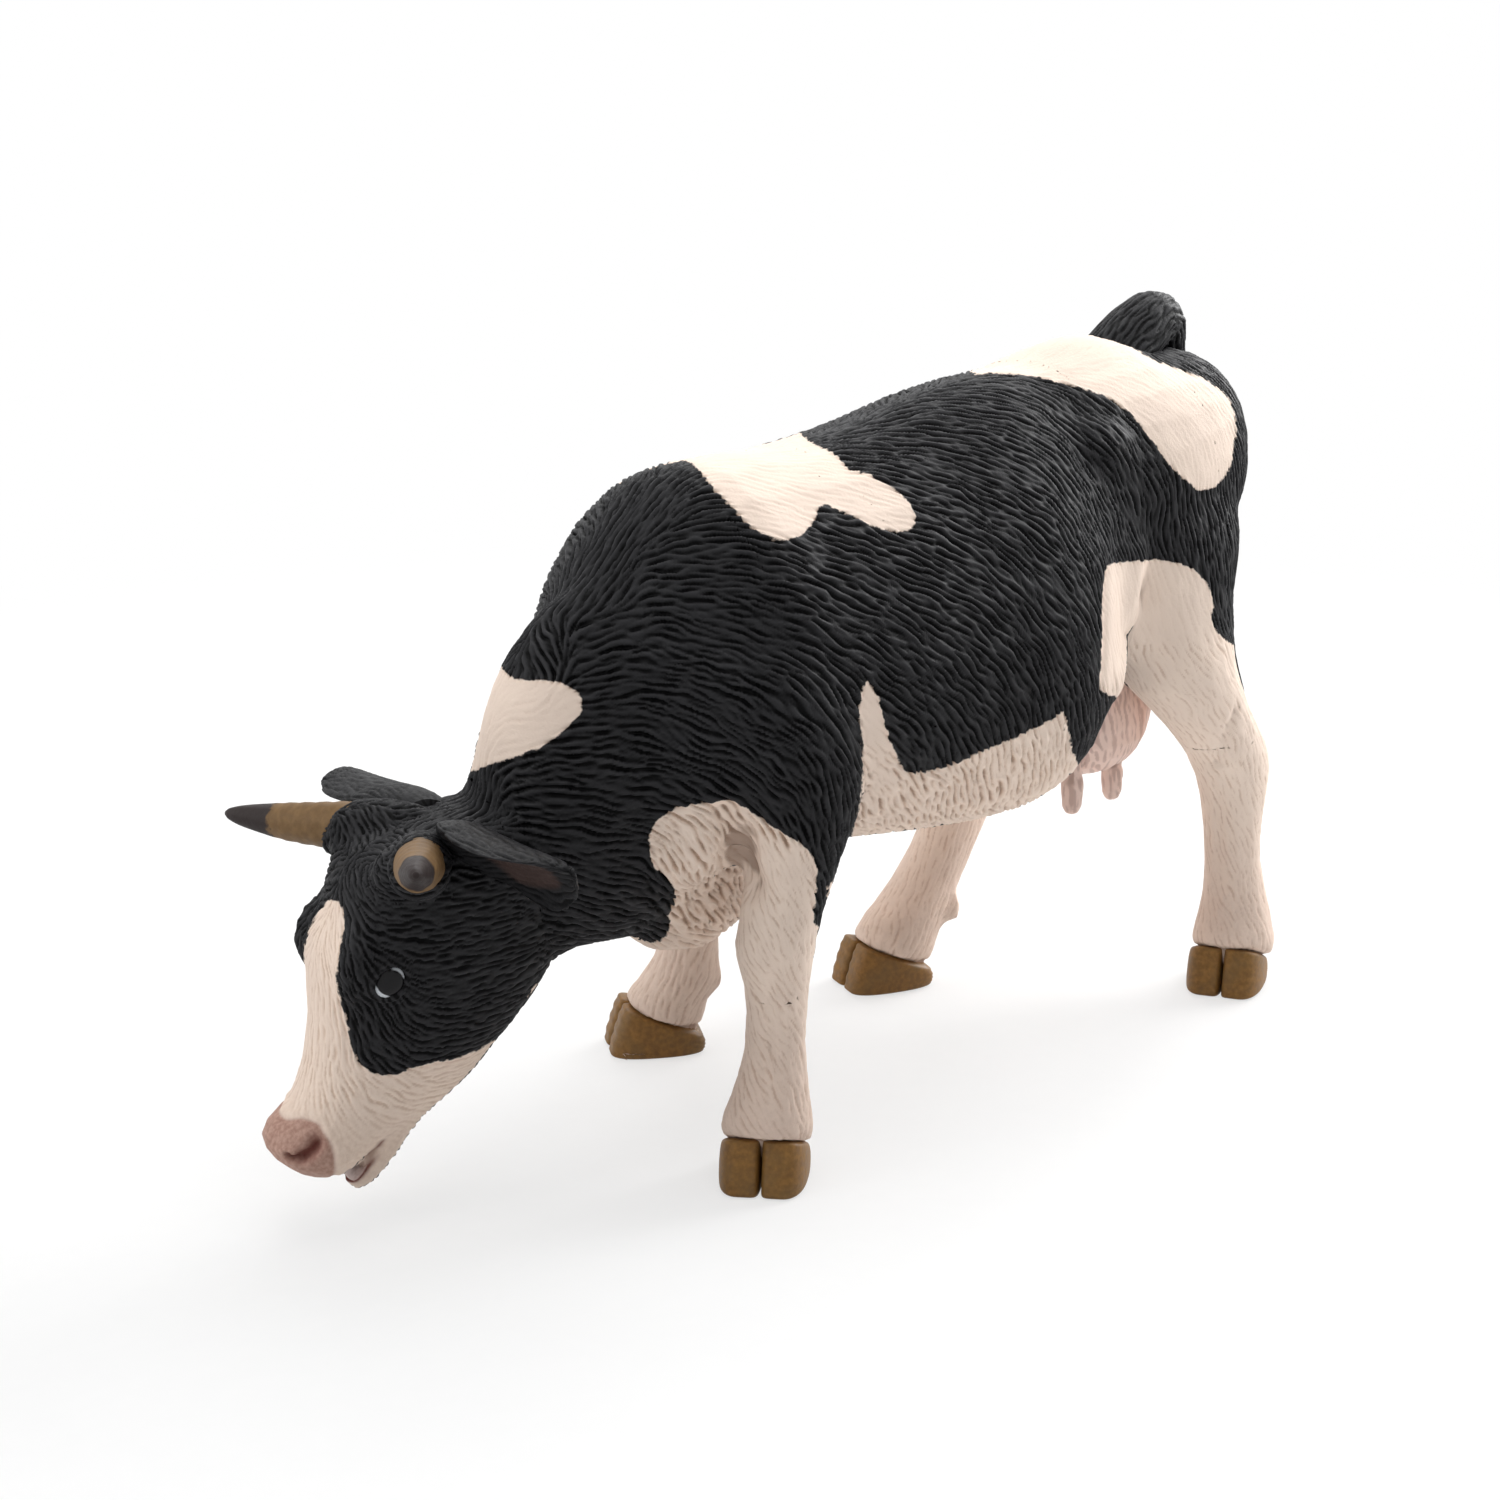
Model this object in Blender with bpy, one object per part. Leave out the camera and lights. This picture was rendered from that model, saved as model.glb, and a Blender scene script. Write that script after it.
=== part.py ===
"""Grazing dairy cow, a hand-painted toy figure moulded in soft plastic.

The head points to -X, the left flank to -Y, and the soles stand on the plane z = 0.
The body is drawn as one form from lofted sections, blended, then cut into the
mouldings that the figure is glued together from. Lengths are in metres.
"""
import math

import bmesh
import bpy
import numpy as np

for stale in list(bpy.data.objects):
    bpy.data.objects.remove(stale)

# Driving dimensions of the body
TRUNK_LENGTH = 0.112
WITHERS_HEIGHT = 0.0775
BARREL_WIDTH = 0.047
NECK_WIDTH = 0.017
BRISKET_LENGTH = 0.022
BRISKET_WIDTH = 0.015
BRISKET_DEPTH = 0.020
HOOK_WIDTH = 0.012
PIN_WIDTH = 0.0090
CANNON_WIDTH = 0.0068

# Driving dimensions of the head
HEAD_LENGTH = 0.0385
HEAD_WIDTH = 0.0184
HEAD_DEPTH = 0.026
BROW_WIDTH = 0.0054
EYE_WIDTH = 0.0042
MOUTH_GAP = 0.0018
HORN_LENGTH = 0.0195
HORN_WIDTH = 0.0054
BOSS_WIDTH = 0.0062
EAR_LENGTH = 0.0208
EAR_WIDTH = 0.0094
EAR_THICKNESS = 0.0020

# Driving dimensions of the hooves, udder and tail
HOOF_LENGTH = 0.0121
HOOF_WIDTH = 0.0098
HOOF_HEIGHT = 0.0051
CLEFT_WIDTH = 0.0005
DEWCLAW_WIDTH = 0.0028
UDDER_LENGTH = 0.0200
UDDER_WIDTH = 0.0175
UDDER_DEPTH = 0.0165
TEAT_LENGTH = 0.0054
TEAT_WIDTH = 0.0023
TAIL_WIDTH = 0.0056

# How the mouldings meet
CLEARANCE = 0.0003
PEG_LENGTH = 0.0050
LEG_PEG_WIDTH = 0.0050
NECK_PEG_WIDTH = 0.0080
FORELEG_SEAM_HEIGHT = 0.0400
HINDLEG_SEAM_HEIGHT = 0.0500
SLEEVE_MARGIN = 0.0012
SLEEVE_FLARE_SHARE = 0.12

# How finely the forms are blended and cut
BLEND_GRID = 0.0008
BLEND_PASSES = 8
BODY_TRIANGLES = 6600
TAIL_TRIANGLES = 620
OVERRUN = 0.0015
RING_COUNT = 28
TRIM_COUNT = 12
STEPS_PER_ROW = 4
TRIM_STEPS = 2

CHEST_X = -0.42 * TRUNK_LENGTH
HALF_BARREL = BARREL_WIDTH / 2

# Trunk sections: along the length; top, widest level and bottom by the withers'
# height; half width by half the barrel; fullness above and below
TRUNK_SHARES = (
    (0.000, 0.780, 0.640, 0.520, 0.22, 2.0, 2.0),
    (0.036, 0.862, 0.630, 0.430, 0.46, 2.0, 2.0),
    (0.090, 0.940, 0.640, 0.400, 0.71, 2.1, 1.9),
    (0.152, 1.000, 0.660, 0.420, 0.85, 2.1, 1.7),
    (0.223, 1.010, 0.665, 0.425, 0.91, 1.9, 1.7),
    (0.312, 1.006, 0.655, 0.420, 0.95, 2.0, 2.0),
    (0.420, 1.019, 0.630, 0.403, 0.98, 2.0, 2.2),
    (0.527, 1.046, 0.620, 0.391, 1.00, 2.0, 2.3),
    (0.600, 1.059, 0.630, 0.402, 0.93, 2.0, 2.2),
    (0.660, 1.062, 0.680, 0.440, 0.79, 2.1, 1.9),
    (0.710, 1.064, 0.770, 0.500, 0.71, 2.4, 1.7),
    (0.780, 1.064, 0.800, 0.550, 0.74, 2.4, 1.8),
    (0.848, 1.062, 0.820, 0.610, 0.72, 2.5, 2.0),
    (0.915, 1.058, 0.850, 0.690, 0.65, 2.5, 2.0),
    (0.965, 1.040, 0.870, 0.760, 0.53, 2.4, 2.0),
    (0.990, 1.000, 0.880, 0.795, 0.38, 2.2, 2.0),
    (1.005, 0.945, 0.885, 0.835, 0.18, 2.0, 2.0),
)

# Neck sections: crest and throat, each along from the chest, across and up, and
# the half width by the neck's width at the head
NECK_SHARES = (
    (0.180, 0.000, 0.960, 0.215, 0.000, 0.400, 0.90),
    (0.105, 0.000, 0.928, 0.140, 0.000, 0.352, 0.71),
    (0.044, 0.014, 0.874, 0.095, 0.010, 0.347, 0.64),
    (-0.008, 0.058, 0.822, 0.055, 0.030, 0.348, 0.63),
    (-0.042, 0.116, 0.733, 0.030, 0.060, 0.346, 0.58),
    (-0.062, 0.160, 0.582, 0.010, 0.090, 0.335, 0.52),
    (-0.085, 0.190, 0.500, -0.010, 0.110, 0.345, 0.48),
)

# Leg sections from the body down: along from the chest, across, up, then half
# the fore-and-aft and half the sideways size by the width of a cannon
LEFT_FORELEG_SHARES = (
    (0.170, -0.190, 0.850, 1.40, 0.90),
    (0.165, -0.265, 0.750, 1.60, 1.15),
    (0.168, -0.308, 0.645, 1.38, 1.12),
    (0.176, -0.334, 0.560, 1.14, 0.90),
    (0.163, -0.340, 0.465, 0.88, 0.66),
    (0.150, -0.340, 0.400, 0.70, 0.61),
    (0.144, -0.340, 0.355, 0.66, 0.63),
    (0.150, -0.340, 0.290, 0.52, 0.51),
    (0.148, -0.340, 0.220, 0.48, 0.49),
    (0.146, -0.340, 0.168, 0.55, 0.55),
    (0.144, -0.340, 0.120, 0.68, 0.66),
    (0.149, -0.324, 0.078, 0.72, 0.68),
    (0.153, -0.312, 0.032, 0.66, 0.58),
)
RIGHT_FORELEG_SHARES = (
    (0.180, 0.190, 0.850, 1.40, 0.90),
    (0.185, 0.265, 0.750, 1.60, 1.15),
    (0.200, 0.308, 0.645, 1.38, 1.12),
    (0.222, 0.334, 0.560, 1.00, 0.88),
    (0.255, 0.350, 0.465, 0.74, 0.64),
    (0.282, 0.366, 0.400, 0.66, 0.60),
    (0.298, 0.378, 0.350, 0.68, 0.63),
    (0.322, 0.394, 0.284, 0.55, 0.52),
    (0.340, 0.405, 0.220, 0.52, 0.50),
    (0.342, 0.408, 0.168, 0.56, 0.55),
    (0.333, 0.422, 0.120, 0.68, 0.66),
    (0.326, 0.450, 0.078, 0.74, 0.68),
    (0.324, 0.462, 0.032, 0.68, 0.58),
)
LEFT_HINDLEG_SHARES = (
    (0.820, -0.180, 0.900, 2.05, 1.00),
    (0.812, -0.235, 0.780, 1.98, 1.20),
    (0.798, -0.275, 0.675, 1.65, 1.12),
    (0.806, -0.318, 0.580, 1.36, 0.96),
    (0.842, -0.347, 0.503, 1.10, 0.75),
    (0.875, -0.351, 0.450, 1.00, 0.66),
    (0.902, -0.351, 0.400, 0.95, 0.62),
    (0.912, -0.351, 0.350, 0.80, 0.58),
    (0.914, -0.351, 0.284, 0.63, 0.52),
    (0.916, -0.353, 0.220, 0.59, 0.50),
    (0.920, -0.357, 0.165, 0.64, 0.57),
    (0.920, -0.362, 0.120, 0.76, 0.67),
    (0.918, -0.366, 0.078, 0.80, 0.70),
    (0.920, -0.362, 0.032, 0.72, 0.60),
)
RIGHT_HINDLEG_SHARES = (
    (0.800, 0.180, 0.900, 2.05, 1.00),
    (0.790, 0.235, 0.780, 2.10, 1.25),
    (0.775, 0.290, 0.675, 1.80, 1.18),
    (0.780, 0.318, 0.580, 1.42, 0.96),
    (0.802, 0.325, 0.503, 1.08, 0.74),
    (0.818, 0.327, 0.450, 1.00, 0.66),
    (0.822, 0.326, 0.400, 0.98, 0.62),
    (0.802, 0.324, 0.350, 0.90, 0.58),
    (0.768, 0.322, 0.284, 0.82, 0.54),
    (0.735, 0.320, 0.220, 0.80, 0.53),
    (0.702, 0.320, 0.165, 0.84, 0.58),
    (0.670, 0.320, 0.120, 0.95, 0.66),
    (0.658, 0.332, 0.078, 0.88, 0.70),
    (0.654, 0.340, 0.032, 0.72, 0.58),
)

LEG_TABLES = {
    "front_left_leg": LEFT_FORELEG_SHARES,
    "front_right_leg": RIGHT_FORELEG_SHARES,
    "hind_left_leg": LEFT_HINDLEG_SHARES,
    "hind_right_leg": RIGHT_HINDLEG_SHARES,
}

# The breast between the forelegs, the hook bones and the pin bones: places, then half sizes
BRISKET_PLACE_SHARES = (0.160, 0.0, 0.425)
HOOK_PLACE_SHARES = (0.690, 0.222, 0.925)
HOOK_SIZE_SHARES = (0.65, 0.45, 0.50)
PIN_PLACE_SHARES = (0.945, 0.175, 0.930)
PIN_SIZE_SHARES = (0.45, 0.45, 0.70)
DEWCLAW_SIZE_SHARES = (0.50, 0.50, 0.75)

# Head sections along the face: distance from the poll by the head's length;
# forehead, widest level and jaw by the head's depth; half width by half its width
HEAD_SHARES = (
    (-0.180, -0.420, -0.520, -0.690, 0.70, 2.0, 2.0),
    (-0.080, -0.120, -0.360, -0.770, 1.00, 2.4, 2.0),
    (0.052, 0.095, -0.260, -0.845, 1.08, 2.8, 2.0),
    (0.182, 0.120, -0.255, -0.880, 1.05, 2.7, 2.0),
    (0.312, 0.140, -0.225, -0.840, 1.01, 2.6, 2.0),
    (0.416, 0.112, -0.260, -0.765, 0.93, 2.3, 2.1),
    (0.520, 0.066, -0.280, -0.680, 0.82, 2.2, 2.1),
    (0.650, 0.038, -0.250, -0.540, 0.69, 2.2, 2.1),
    (0.755, 0.050, -0.190, -0.400, 0.64, 2.2, 2.1),
    (0.845, 0.112, -0.140, -0.305, 0.66, 2.2, 2.2),
    (0.905, 0.088, -0.115, -0.255, 0.60, 2.2, 2.2),
    (0.946, -0.010, -0.105, -0.185, 0.38, 2.0, 2.0),
)
JAW_SHARES = (
    (0.360, -0.460, -0.600, -0.785, 0.62, 2.0, 2.0),
    (0.570, -0.420, -0.530, -0.670, 0.48, 2.0, 2.0),
    (0.730, -0.330, -0.410, -0.508, 0.39, 2.0, 2.0),
    (0.835, -0.300, -0.370, -0.455, 0.36, 2.0, 2.0),
    (0.910, -0.285, -0.350, -0.418, 0.32, 2.0, 2.0),
    (0.955, -0.295, -0.335, -0.370, 0.18, 2.0, 2.0),
)

# Where the head is: the poll by the body, then the turn to the right and the fall
POLL_SHARES = (-0.160, 0.202, 0.537)
HEAD_TURN = math.radians(20)
HEAD_FALL = math.radians(71)

# Places on the head: down the face by its length, outward by its depth, and to the
# side by half its width
BROW_SIZE_SHARES = (0.50, 0.50, 0.75)
BROW_PLACE_SHARES = (0.300, 0.040, 0.68)
EYE_PLACE_SHARES = (0.318, -0.090, 0.84)
BOSS_PLACE_SHARES = (0.020, 0.000, 0.80)
HORN_PLACE_SHARES = (-0.010, -0.080, 0.72)
EAR_PLACE_SHARES = (-0.085, -0.260, 0.74)
LEFT_HORN_AIM_SHARES = (-0.055, 0.425, 0.91)
RIGHT_HORN_AIM_SHARES = (0.26, 0.56, 0.81)
LEFT_EAR_AIM_SHARES = (-0.155, -0.07, 0.96)
RIGHT_EAR_AIM_SHARES = (0.07, 0.05, 0.98)
LEFT_EAR_CUP_SHARES = (0.38, 0.92)
RIGHT_EAR_CUP_SHARES = (0.00, 1.00)
MOUTH_CORNER_SHARES = (0.800, -0.330)
MOUTH_FRONT_SHARES = (1.040, -0.255)

# Hooves: along from the chest and across, with the turn outward in degrees
HOOF_PLACES_SHARES = {
    "front_left_leg": (0.146, -0.300, -40),
    "front_right_leg": (0.322, 0.462, 31),
    "hind_left_leg": (0.916, -0.356, -24),
    "hind_right_leg": (0.646, 0.338, 24),
}
# Claw sections: up by the hoof's height, reach to the toe and to the heel by its
# length, half width by the hoof's width, and the rise from heel to toe
CLAW_SHARES = (
    (-0.30, 0.550, 0.385, 0.242, 0.00),
    (0.00, 0.545, 0.390, 0.244, 0.00),
    (0.32, 0.480, 0.405, 0.248, 0.14),
    (0.62, 0.405, 0.420, 0.240, 0.30),
    (0.80, 0.330, 0.350, 0.196, 0.32),
)

# The heel that joins the claws: set back, reach and half width, height
HEEL_BACK_SHARE = 0.12
HEEL_REACH_SHARE = 0.22
HEEL_WIDTH_SHARE = 0.30
HEEL_HEIGHT_SHARE = 0.55

# Tail path: along from the chest, across, up, and thickness by the tail's width
TAIL_SHARES = (
    (0.800, 0.000, 0.985, 1.50),
    (0.846, 0.000, 1.036, 1.60),
    (0.890, 0.000, 1.076, 1.52),
    (0.924, 0.000, 1.100, 1.32),
    (0.947, 0.006, 1.088, 1.18),
    (0.960, 0.020, 1.040, 1.10),
    (0.974, 0.026, 0.980, 1.00),
    (0.993, 0.018, 0.915, 0.92),
    (1.004, -0.014, 0.850, 0.90),
    (1.004, -0.080, 0.780, 0.88),
    (0.974, -0.155, 0.710, 0.88),
    (0.942, -0.220, 0.630, 0.88),
    (0.930, -0.250, 0.550, 0.90),
    (0.944, -0.268, 0.470, 0.98),
    (0.956, -0.266, 0.380, 1.08),
    (0.962, -0.260, 0.300, 0.85),
    (0.964, -0.258, 0.265, 0.35),
)

# Udder sections from its root down: up by the depth, then half length, half width
UDDER_SHARES = (
    (0.45, 0.30, 0.30),
    (0.30, 0.46, 0.46),
    (0.00, 0.53, 0.52),
    (-0.30, 0.47, 0.50),
    (-0.48, 0.34, 0.40),
    (-0.56, 0.18, 0.22),
)
UDDER_PLACE_SHARES = (0.795, -0.010, 0.500)
TEAT_ALONG_SHARES = (-0.34, 0.08)
TEAT_ACROSS_SHARES = (-0.30, 0.28)
TEAT_ROOT_SHARE = -0.46
TEAT_SHARES = ((0.60, 0.62), (0.20, 0.50), (-0.50, 0.44), (-0.85, 0.38), (-1.00, 0.20))

# Horn sections: along by its length, width by its width, and lift off its line
HORN_SHARES = (
    (-0.14, 0.40, 0.00),
    (-0.07, 0.48, 0.00),
    (0.00, 0.94, 0.00),
    (0.08, 1.00, 0.00),
    (0.30, 0.93, 0.02),
    (0.60, 0.77, 0.03),
    (0.85, 0.52, 0.00),
    (0.96, 0.30, -0.02),
    (1.00, 0.12, -0.03),
)

# Ear sections: along by its length, width, thickness, and how far the rims cup
EAR_SHARES = (
    (-0.12, 0.36, 1.10, 0.00),
    (0.00, 0.50, 1.10, 0.00),
    (0.15, 0.78, 1.30, 0.05),
    (0.35, 1.00, 1.10, 0.16),
    (0.60, 1.02, 1.00, 0.20),
    (0.80, 0.82, 0.90, 0.16),
    (0.93, 0.50, 0.80, 0.08),
    (1.00, 0.18, 0.50, 0.02),
)

# The space in front of the head's joint, by the head's length
HEAD_SPACE_HALF_SHARE = 0.80
HEAD_SPACE_DEPTH_SHARE = 1.75
# How far a seat is offset, so that its slanted facets keep the clearance too
SEAT_OFFSET_SHARE = 1.3

WORLD_UP = np.array((0.0, 0.0, 1.0))


def material(name, colour, roughness):
    """A painted plastic of one colour."""
    paint = bpy.data.materials.new(name)
    paint.use_nodes = True
    shader = paint.node_tree.nodes["Principled BSDF"]
    shader.inputs["Base Color"].default_value = (*colour, 1.0)
    shader.inputs["Roughness"].default_value = roughness
    shader.inputs["Metallic"].default_value = 0.0
    return paint


def smooth_rows(rows, steps=STEPS_PER_ROW):
    """More rows on a smooth curve through every row (Catmull-Rom)."""
    rows = np.array(rows, float)
    padded = np.vstack((2 * rows[0] - rows[1], rows, 2 * rows[-1] - rows[-2]))
    out = []
    for row in range(len(rows) - 1):
        before, start, end, after = padded[row:row + 4]
        for step in range(steps):
            t = step / steps
            out.append(0.5 * (2 * start + (end - before) * t
                              + (2 * before - 5 * start + 4 * end - after) * t ** 2
                              + (3 * start - before - 3 * end + after) * t ** 3))
    out.append(rows[-1])
    return np.array(out)


def unit(vector):
    """The vector at length one."""
    return np.asarray(vector, float) / np.linalg.norm(vector)


def oval(centre, side, rise, half_side, half_up, half_down=None, fullness=(2.0, 2.0),
         count=RING_COUNT):
    """A closed ring: an ellipse at fullness 2, squarer above it."""
    half_down = half_up if half_down is None else half_down
    turn = np.arange(count) * math.tau / count
    run, climb = np.cos(turn), np.sin(turn)
    power = 2 / np.where(climb > 0, fullness[0], fullness[1])
    across = half_side * np.sign(run) * np.abs(run) ** power
    up = np.where(climb > 0, half_up, half_down) * np.sign(climb) * np.abs(climb) ** power
    return np.asarray(centre) + across[:, None] * np.asarray(side) + up[:, None] * np.asarray(rise)


def loft(rings):
    """Points and faces of a closed skin through the rings."""
    count = len(rings[0])
    points = np.vstack(rings)
    faces = []
    for row in range(len(rings) - 1):
        for place in range(count):
            after = (place + 1) % count
            faces.append((row * count + place, row * count + after,
                          (row + 1) * count + after, (row + 1) * count + place))
    faces.append(tuple(reversed(range(count))))
    faces.append(tuple(range(len(points) - count, len(points))))
    return points, faces


def ball(centre, half_sizes, axes=np.eye(3), rings=7):
    """An egg shape, lofted from pole to pole along its third axis."""
    tilt = np.linspace(-0.96, 0.96, rings) * math.pi / 2
    return loft([oval(np.asarray(centre) + axes[2] * half_sizes[2] * math.sin(a), axes[0], axes[1],
                      half_sizes[0] * math.cos(a), half_sizes[1] * math.cos(a), count=RING_COUNT // 2)
                 for a in tilt])


def solid(name, skins, paint=None):
    """One object of one or several closed skins, with faces pointing out."""
    mesh = bpy.data.meshes.new(name)
    form = bmesh.new()
    for points, faces in skins:
        corners = [form.verts.new(point) for point in points]
        for face in faces:
            form.faces.new([corners[corner] for corner in face])
    bmesh.ops.recalc_face_normals(form, faces=form.faces)
    form.to_mesh(mesh)
    form.free()
    piece = bpy.data.objects.new(name, mesh)
    if paint:
        mesh.materials.append(paint)
    bpy.context.collection.objects.link(piece)
    return piece


def settle(piece):
    """Replaces the piece's mesh by what its modifiers make of it."""
    graph = bpy.context.evaluated_depsgraph_get()
    shaped = bpy.data.meshes.new_from_object(piece.evaluated_get(graph))
    piece.modifiers.clear()
    piece.data = shaped
    return piece


def combine(piece, tool, operation):
    """Cuts the piece with the tool, joins them or keeps what they share."""
    boolean = piece.modifiers.new(operation.title(), "BOOLEAN")
    boolean.operation = operation
    boolean.solver = "EXACT"
    boolean.object = tool
    settle(piece)
    bpy.data.objects.remove(tool)
    return piece


def copy_of(piece, name, paint):
    """A second object with its own mesh and paint."""
    twin = bpy.data.objects.new(name, piece.data.copy())
    twin.data.materials.clear()
    twin.data.materials.append(paint)
    bpy.context.collection.objects.link(twin)
    return twin


def body_place(shares):
    """A place on the body from its shares along, across and up."""
    along, across, up = shares
    return np.array((CHEST_X + along * TRUNK_LENGTH, across * BARREL_WIDTH, up * WITHERS_HEIGHT))


def head_axes():
    """Down the face, out of the forehead, and to the head's left."""
    turn, fall = HEAD_TURN, HEAD_FALL
    face = np.array((-math.cos(fall) * math.cos(turn), math.cos(fall) * math.sin(turn), -math.sin(fall)))
    out = np.array((-math.sin(fall) * math.cos(turn), math.sin(fall) * math.sin(turn), math.cos(fall)))
    left = np.array((-math.sin(turn), -math.cos(turn), 0.0))
    return face, out, left


FACE, OUT, LEFT = head_axes()
POLL = body_place(POLL_SHARES)


def head_place(shares, side=1):
    """A place on the head from its shares down, out and to the side."""
    down, out, across = shares
    return (POLL + down * HEAD_LENGTH * FACE + out * HEAD_DEPTH * OUT
            + side * across * HEAD_WIDTH / 2 * LEFT)


def trunk_skin():
    """The barrel from the chest to the buttocks."""
    rings = []
    for along, top, level, bottom, wide, above, below in smooth_rows(TRUNK_SHARES):
        centre = body_place((along, 0.0, level))
        rings.append(oval(centre, (0, 1, 0), (0, 0, 1), wide * HALF_BARREL,
                          (top - level) * WITHERS_HEIGHT, (level - bottom) * WITHERS_HEIGHT,
                          (above, below)))
    return loft(rings)


def neck_skin():
    """The neck from the withers to the nape."""
    rows = smooth_rows(NECK_SHARES)
    crest = np.array([body_place(row[:3]) for row in rows])
    throat = np.array([body_place(row[3:6]) for row in rows])
    middle = (crest + throat) / 2
    path = np.gradient(middle, axis=0)
    rings = []
    for spot, top, low, run, wide in zip(middle, crest, throat, path, rows[:, 6]):
        rise = unit(top - low)
        side = unit(np.cross(rise, run))
        half_depth = np.linalg.norm(top - low) / 2
        rings.append(oval(spot, side, rise, wide * NECK_WIDTH, half_depth, half_depth, (1.8, 1.9)))
    return loft(rings)


def face_skin(table):
    """A part of the head with sections across the face line."""
    rings = []
    for down, top, level, bottom, wide, above, below in smooth_rows(table):
        centre = POLL + down * HEAD_LENGTH * FACE + level * HEAD_DEPTH * OUT
        rings.append(oval(centre, LEFT, OUT, wide * HEAD_WIDTH / 2, (top - level) * HEAD_DEPTH,
                          (level - bottom) * HEAD_DEPTH, (above, below)))
    return loft(rings)


def head_skins():
    """Skull, lower jaw, and the brows, eyeballs and horn bosses of both sides."""
    skins = [face_skin(HEAD_SHARES), face_skin(JAW_SHARES)]
    axes = np.array((LEFT, OUT, FACE))
    for side in (1, -1):
        brow = head_place(BROW_PLACE_SHARES, side)
        eye = head_place(EYE_PLACE_SHARES, side)
        boss = head_place(BOSS_PLACE_SHARES, side)
        skins.append(ball(brow, np.array(BROW_SIZE_SHARES) * BROW_WIDTH, axes))
        skins.append(ball(eye, np.ones(3) * EYE_WIDTH / 2, axes))
        skins.append(ball(boss, np.ones(3) * BOSS_WIDTH / 2, axes))
    return skins


def leg_skin(table):
    """A leg with level sections from the body down to the pastern."""
    rings = []
    for along, across, up, fore, wide in smooth_rows(table):
        centre = body_place((along, across, up))
        rings.append(oval(centre, (0, 1, 0), (1, 0, 0), wide * CANNON_WIDTH, fore * CANNON_WIDTH))
    return loft(rings)


def dewclaw_skins(table, turn):
    """The two small claws behind the fetlock."""
    along, across, up, fore, wide = table[-3]
    fetlock = body_place((along, across, up))
    forward = np.array((-math.cos(turn), math.sin(turn), 0.0))
    side = np.cross(WORLD_UP, forward)
    half = np.array(DEWCLAW_SIZE_SHARES) * DEWCLAW_WIDTH
    back = (fore * CANNON_WIDTH - DEWCLAW_WIDTH / 4) * -forward
    return [ball(fetlock + back + spread * DEWCLAW_WIDTH / 2 * side, half) for spread in (1, -1)]


def claw_skin(place, turn, spread):
    """One of the two toes of a hoof, with its cleft side to the middle."""
    forward = np.array((-math.cos(turn), math.sin(turn), 0.0))
    side = np.cross(WORLD_UP, forward)
    rings = []
    for up, toe, heel, wide, slope in CLAW_SHARES:
        middle = (toe - heel) / 2 * HOOF_LENGTH
        half_length = (toe + heel) / 2 * HOOF_LENGTH
        half_width = wide * HOOF_WIDTH
        offset = spread * (half_width + CLEFT_WIDTH / 2)
        centre = place + forward * middle + side * offset + WORLD_UP * up * HOOF_HEIGHT
        rings.append(oval(centre, side, forward + slope * WORLD_UP, half_width, half_length,
                          fullness=(2.8, 2.8), count=TRIM_COUNT + 4))
    return loft(rings)


def hoof(place, turn):
    """Two claws joined behind the cleft by the heel."""
    left = solid("hoof", [claw_skin(place, turn, 1)])
    right = solid("claw", [claw_skin(place, turn, -1)])
    forward = np.array((-math.cos(turn), math.sin(turn), 0.0))
    side = np.cross(WORLD_UP, forward)
    core = solid("heel", [loft([
        oval(place - forward * HOOF_LENGTH * HEEL_BACK_SHARE + WORLD_UP * level, side, forward,
             HOOF_WIDTH * HEEL_WIDTH_SHARE, HOOF_LENGTH * HEEL_REACH_SHARE, count=TRIM_COUNT)
        for level in (-OVERRUN, HOOF_HEIGHT * HEEL_HEIGHT_SHARE)])])
    combine(left, right, "UNION")
    return combine(left, core, "UNION")


def blended(name, skins, triangles, paint=None):
    """The skins run together into one smooth form of few facets."""
    form = solid(name, skins, paint)
    grid = form.modifiers.new("Blend", "REMESH")
    grid.mode = "VOXEL"
    grid.voxel_size = BLEND_GRID
    smoothing = form.modifiers.new("Soften", "SMOOTH")
    smoothing.iterations = BLEND_PASSES
    smoothing.factor = 0.5
    settle(form)
    thin = form.modifiers.new("Thin", "DECIMATE")
    form.data.calc_loop_triangles()
    thin.ratio = triangles / len(form.data.loop_triangles)
    return settle(form)


def block(name, low, high):
    """A box between two corners."""
    low, high = np.minimum(low, high), np.maximum(low, high)
    middle, half = (low + high) / 2, (high - low) / 2
    corners = [(-1, -1), (1, -1), (1, 1), (-1, 1)]
    rings = [[middle + half * np.array((x, y, z)) for x, y in corners] for z in (-1, 1)]
    return solid(name, [loft([np.array(ring) for ring in rings])])


def peg(name, base, axis, width, length):
    """A round pin that starts one overrun below its base."""
    side = unit(np.cross(axis, LEFT))
    rise = np.cross(axis, side)
    ends = (base - axis * OVERRUN, base + axis * length)
    return solid(name, [loft([oval(end, side, rise, width / 2, width / 2, count=RING_COUNT // 2)
                              for end in ends])])


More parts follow.
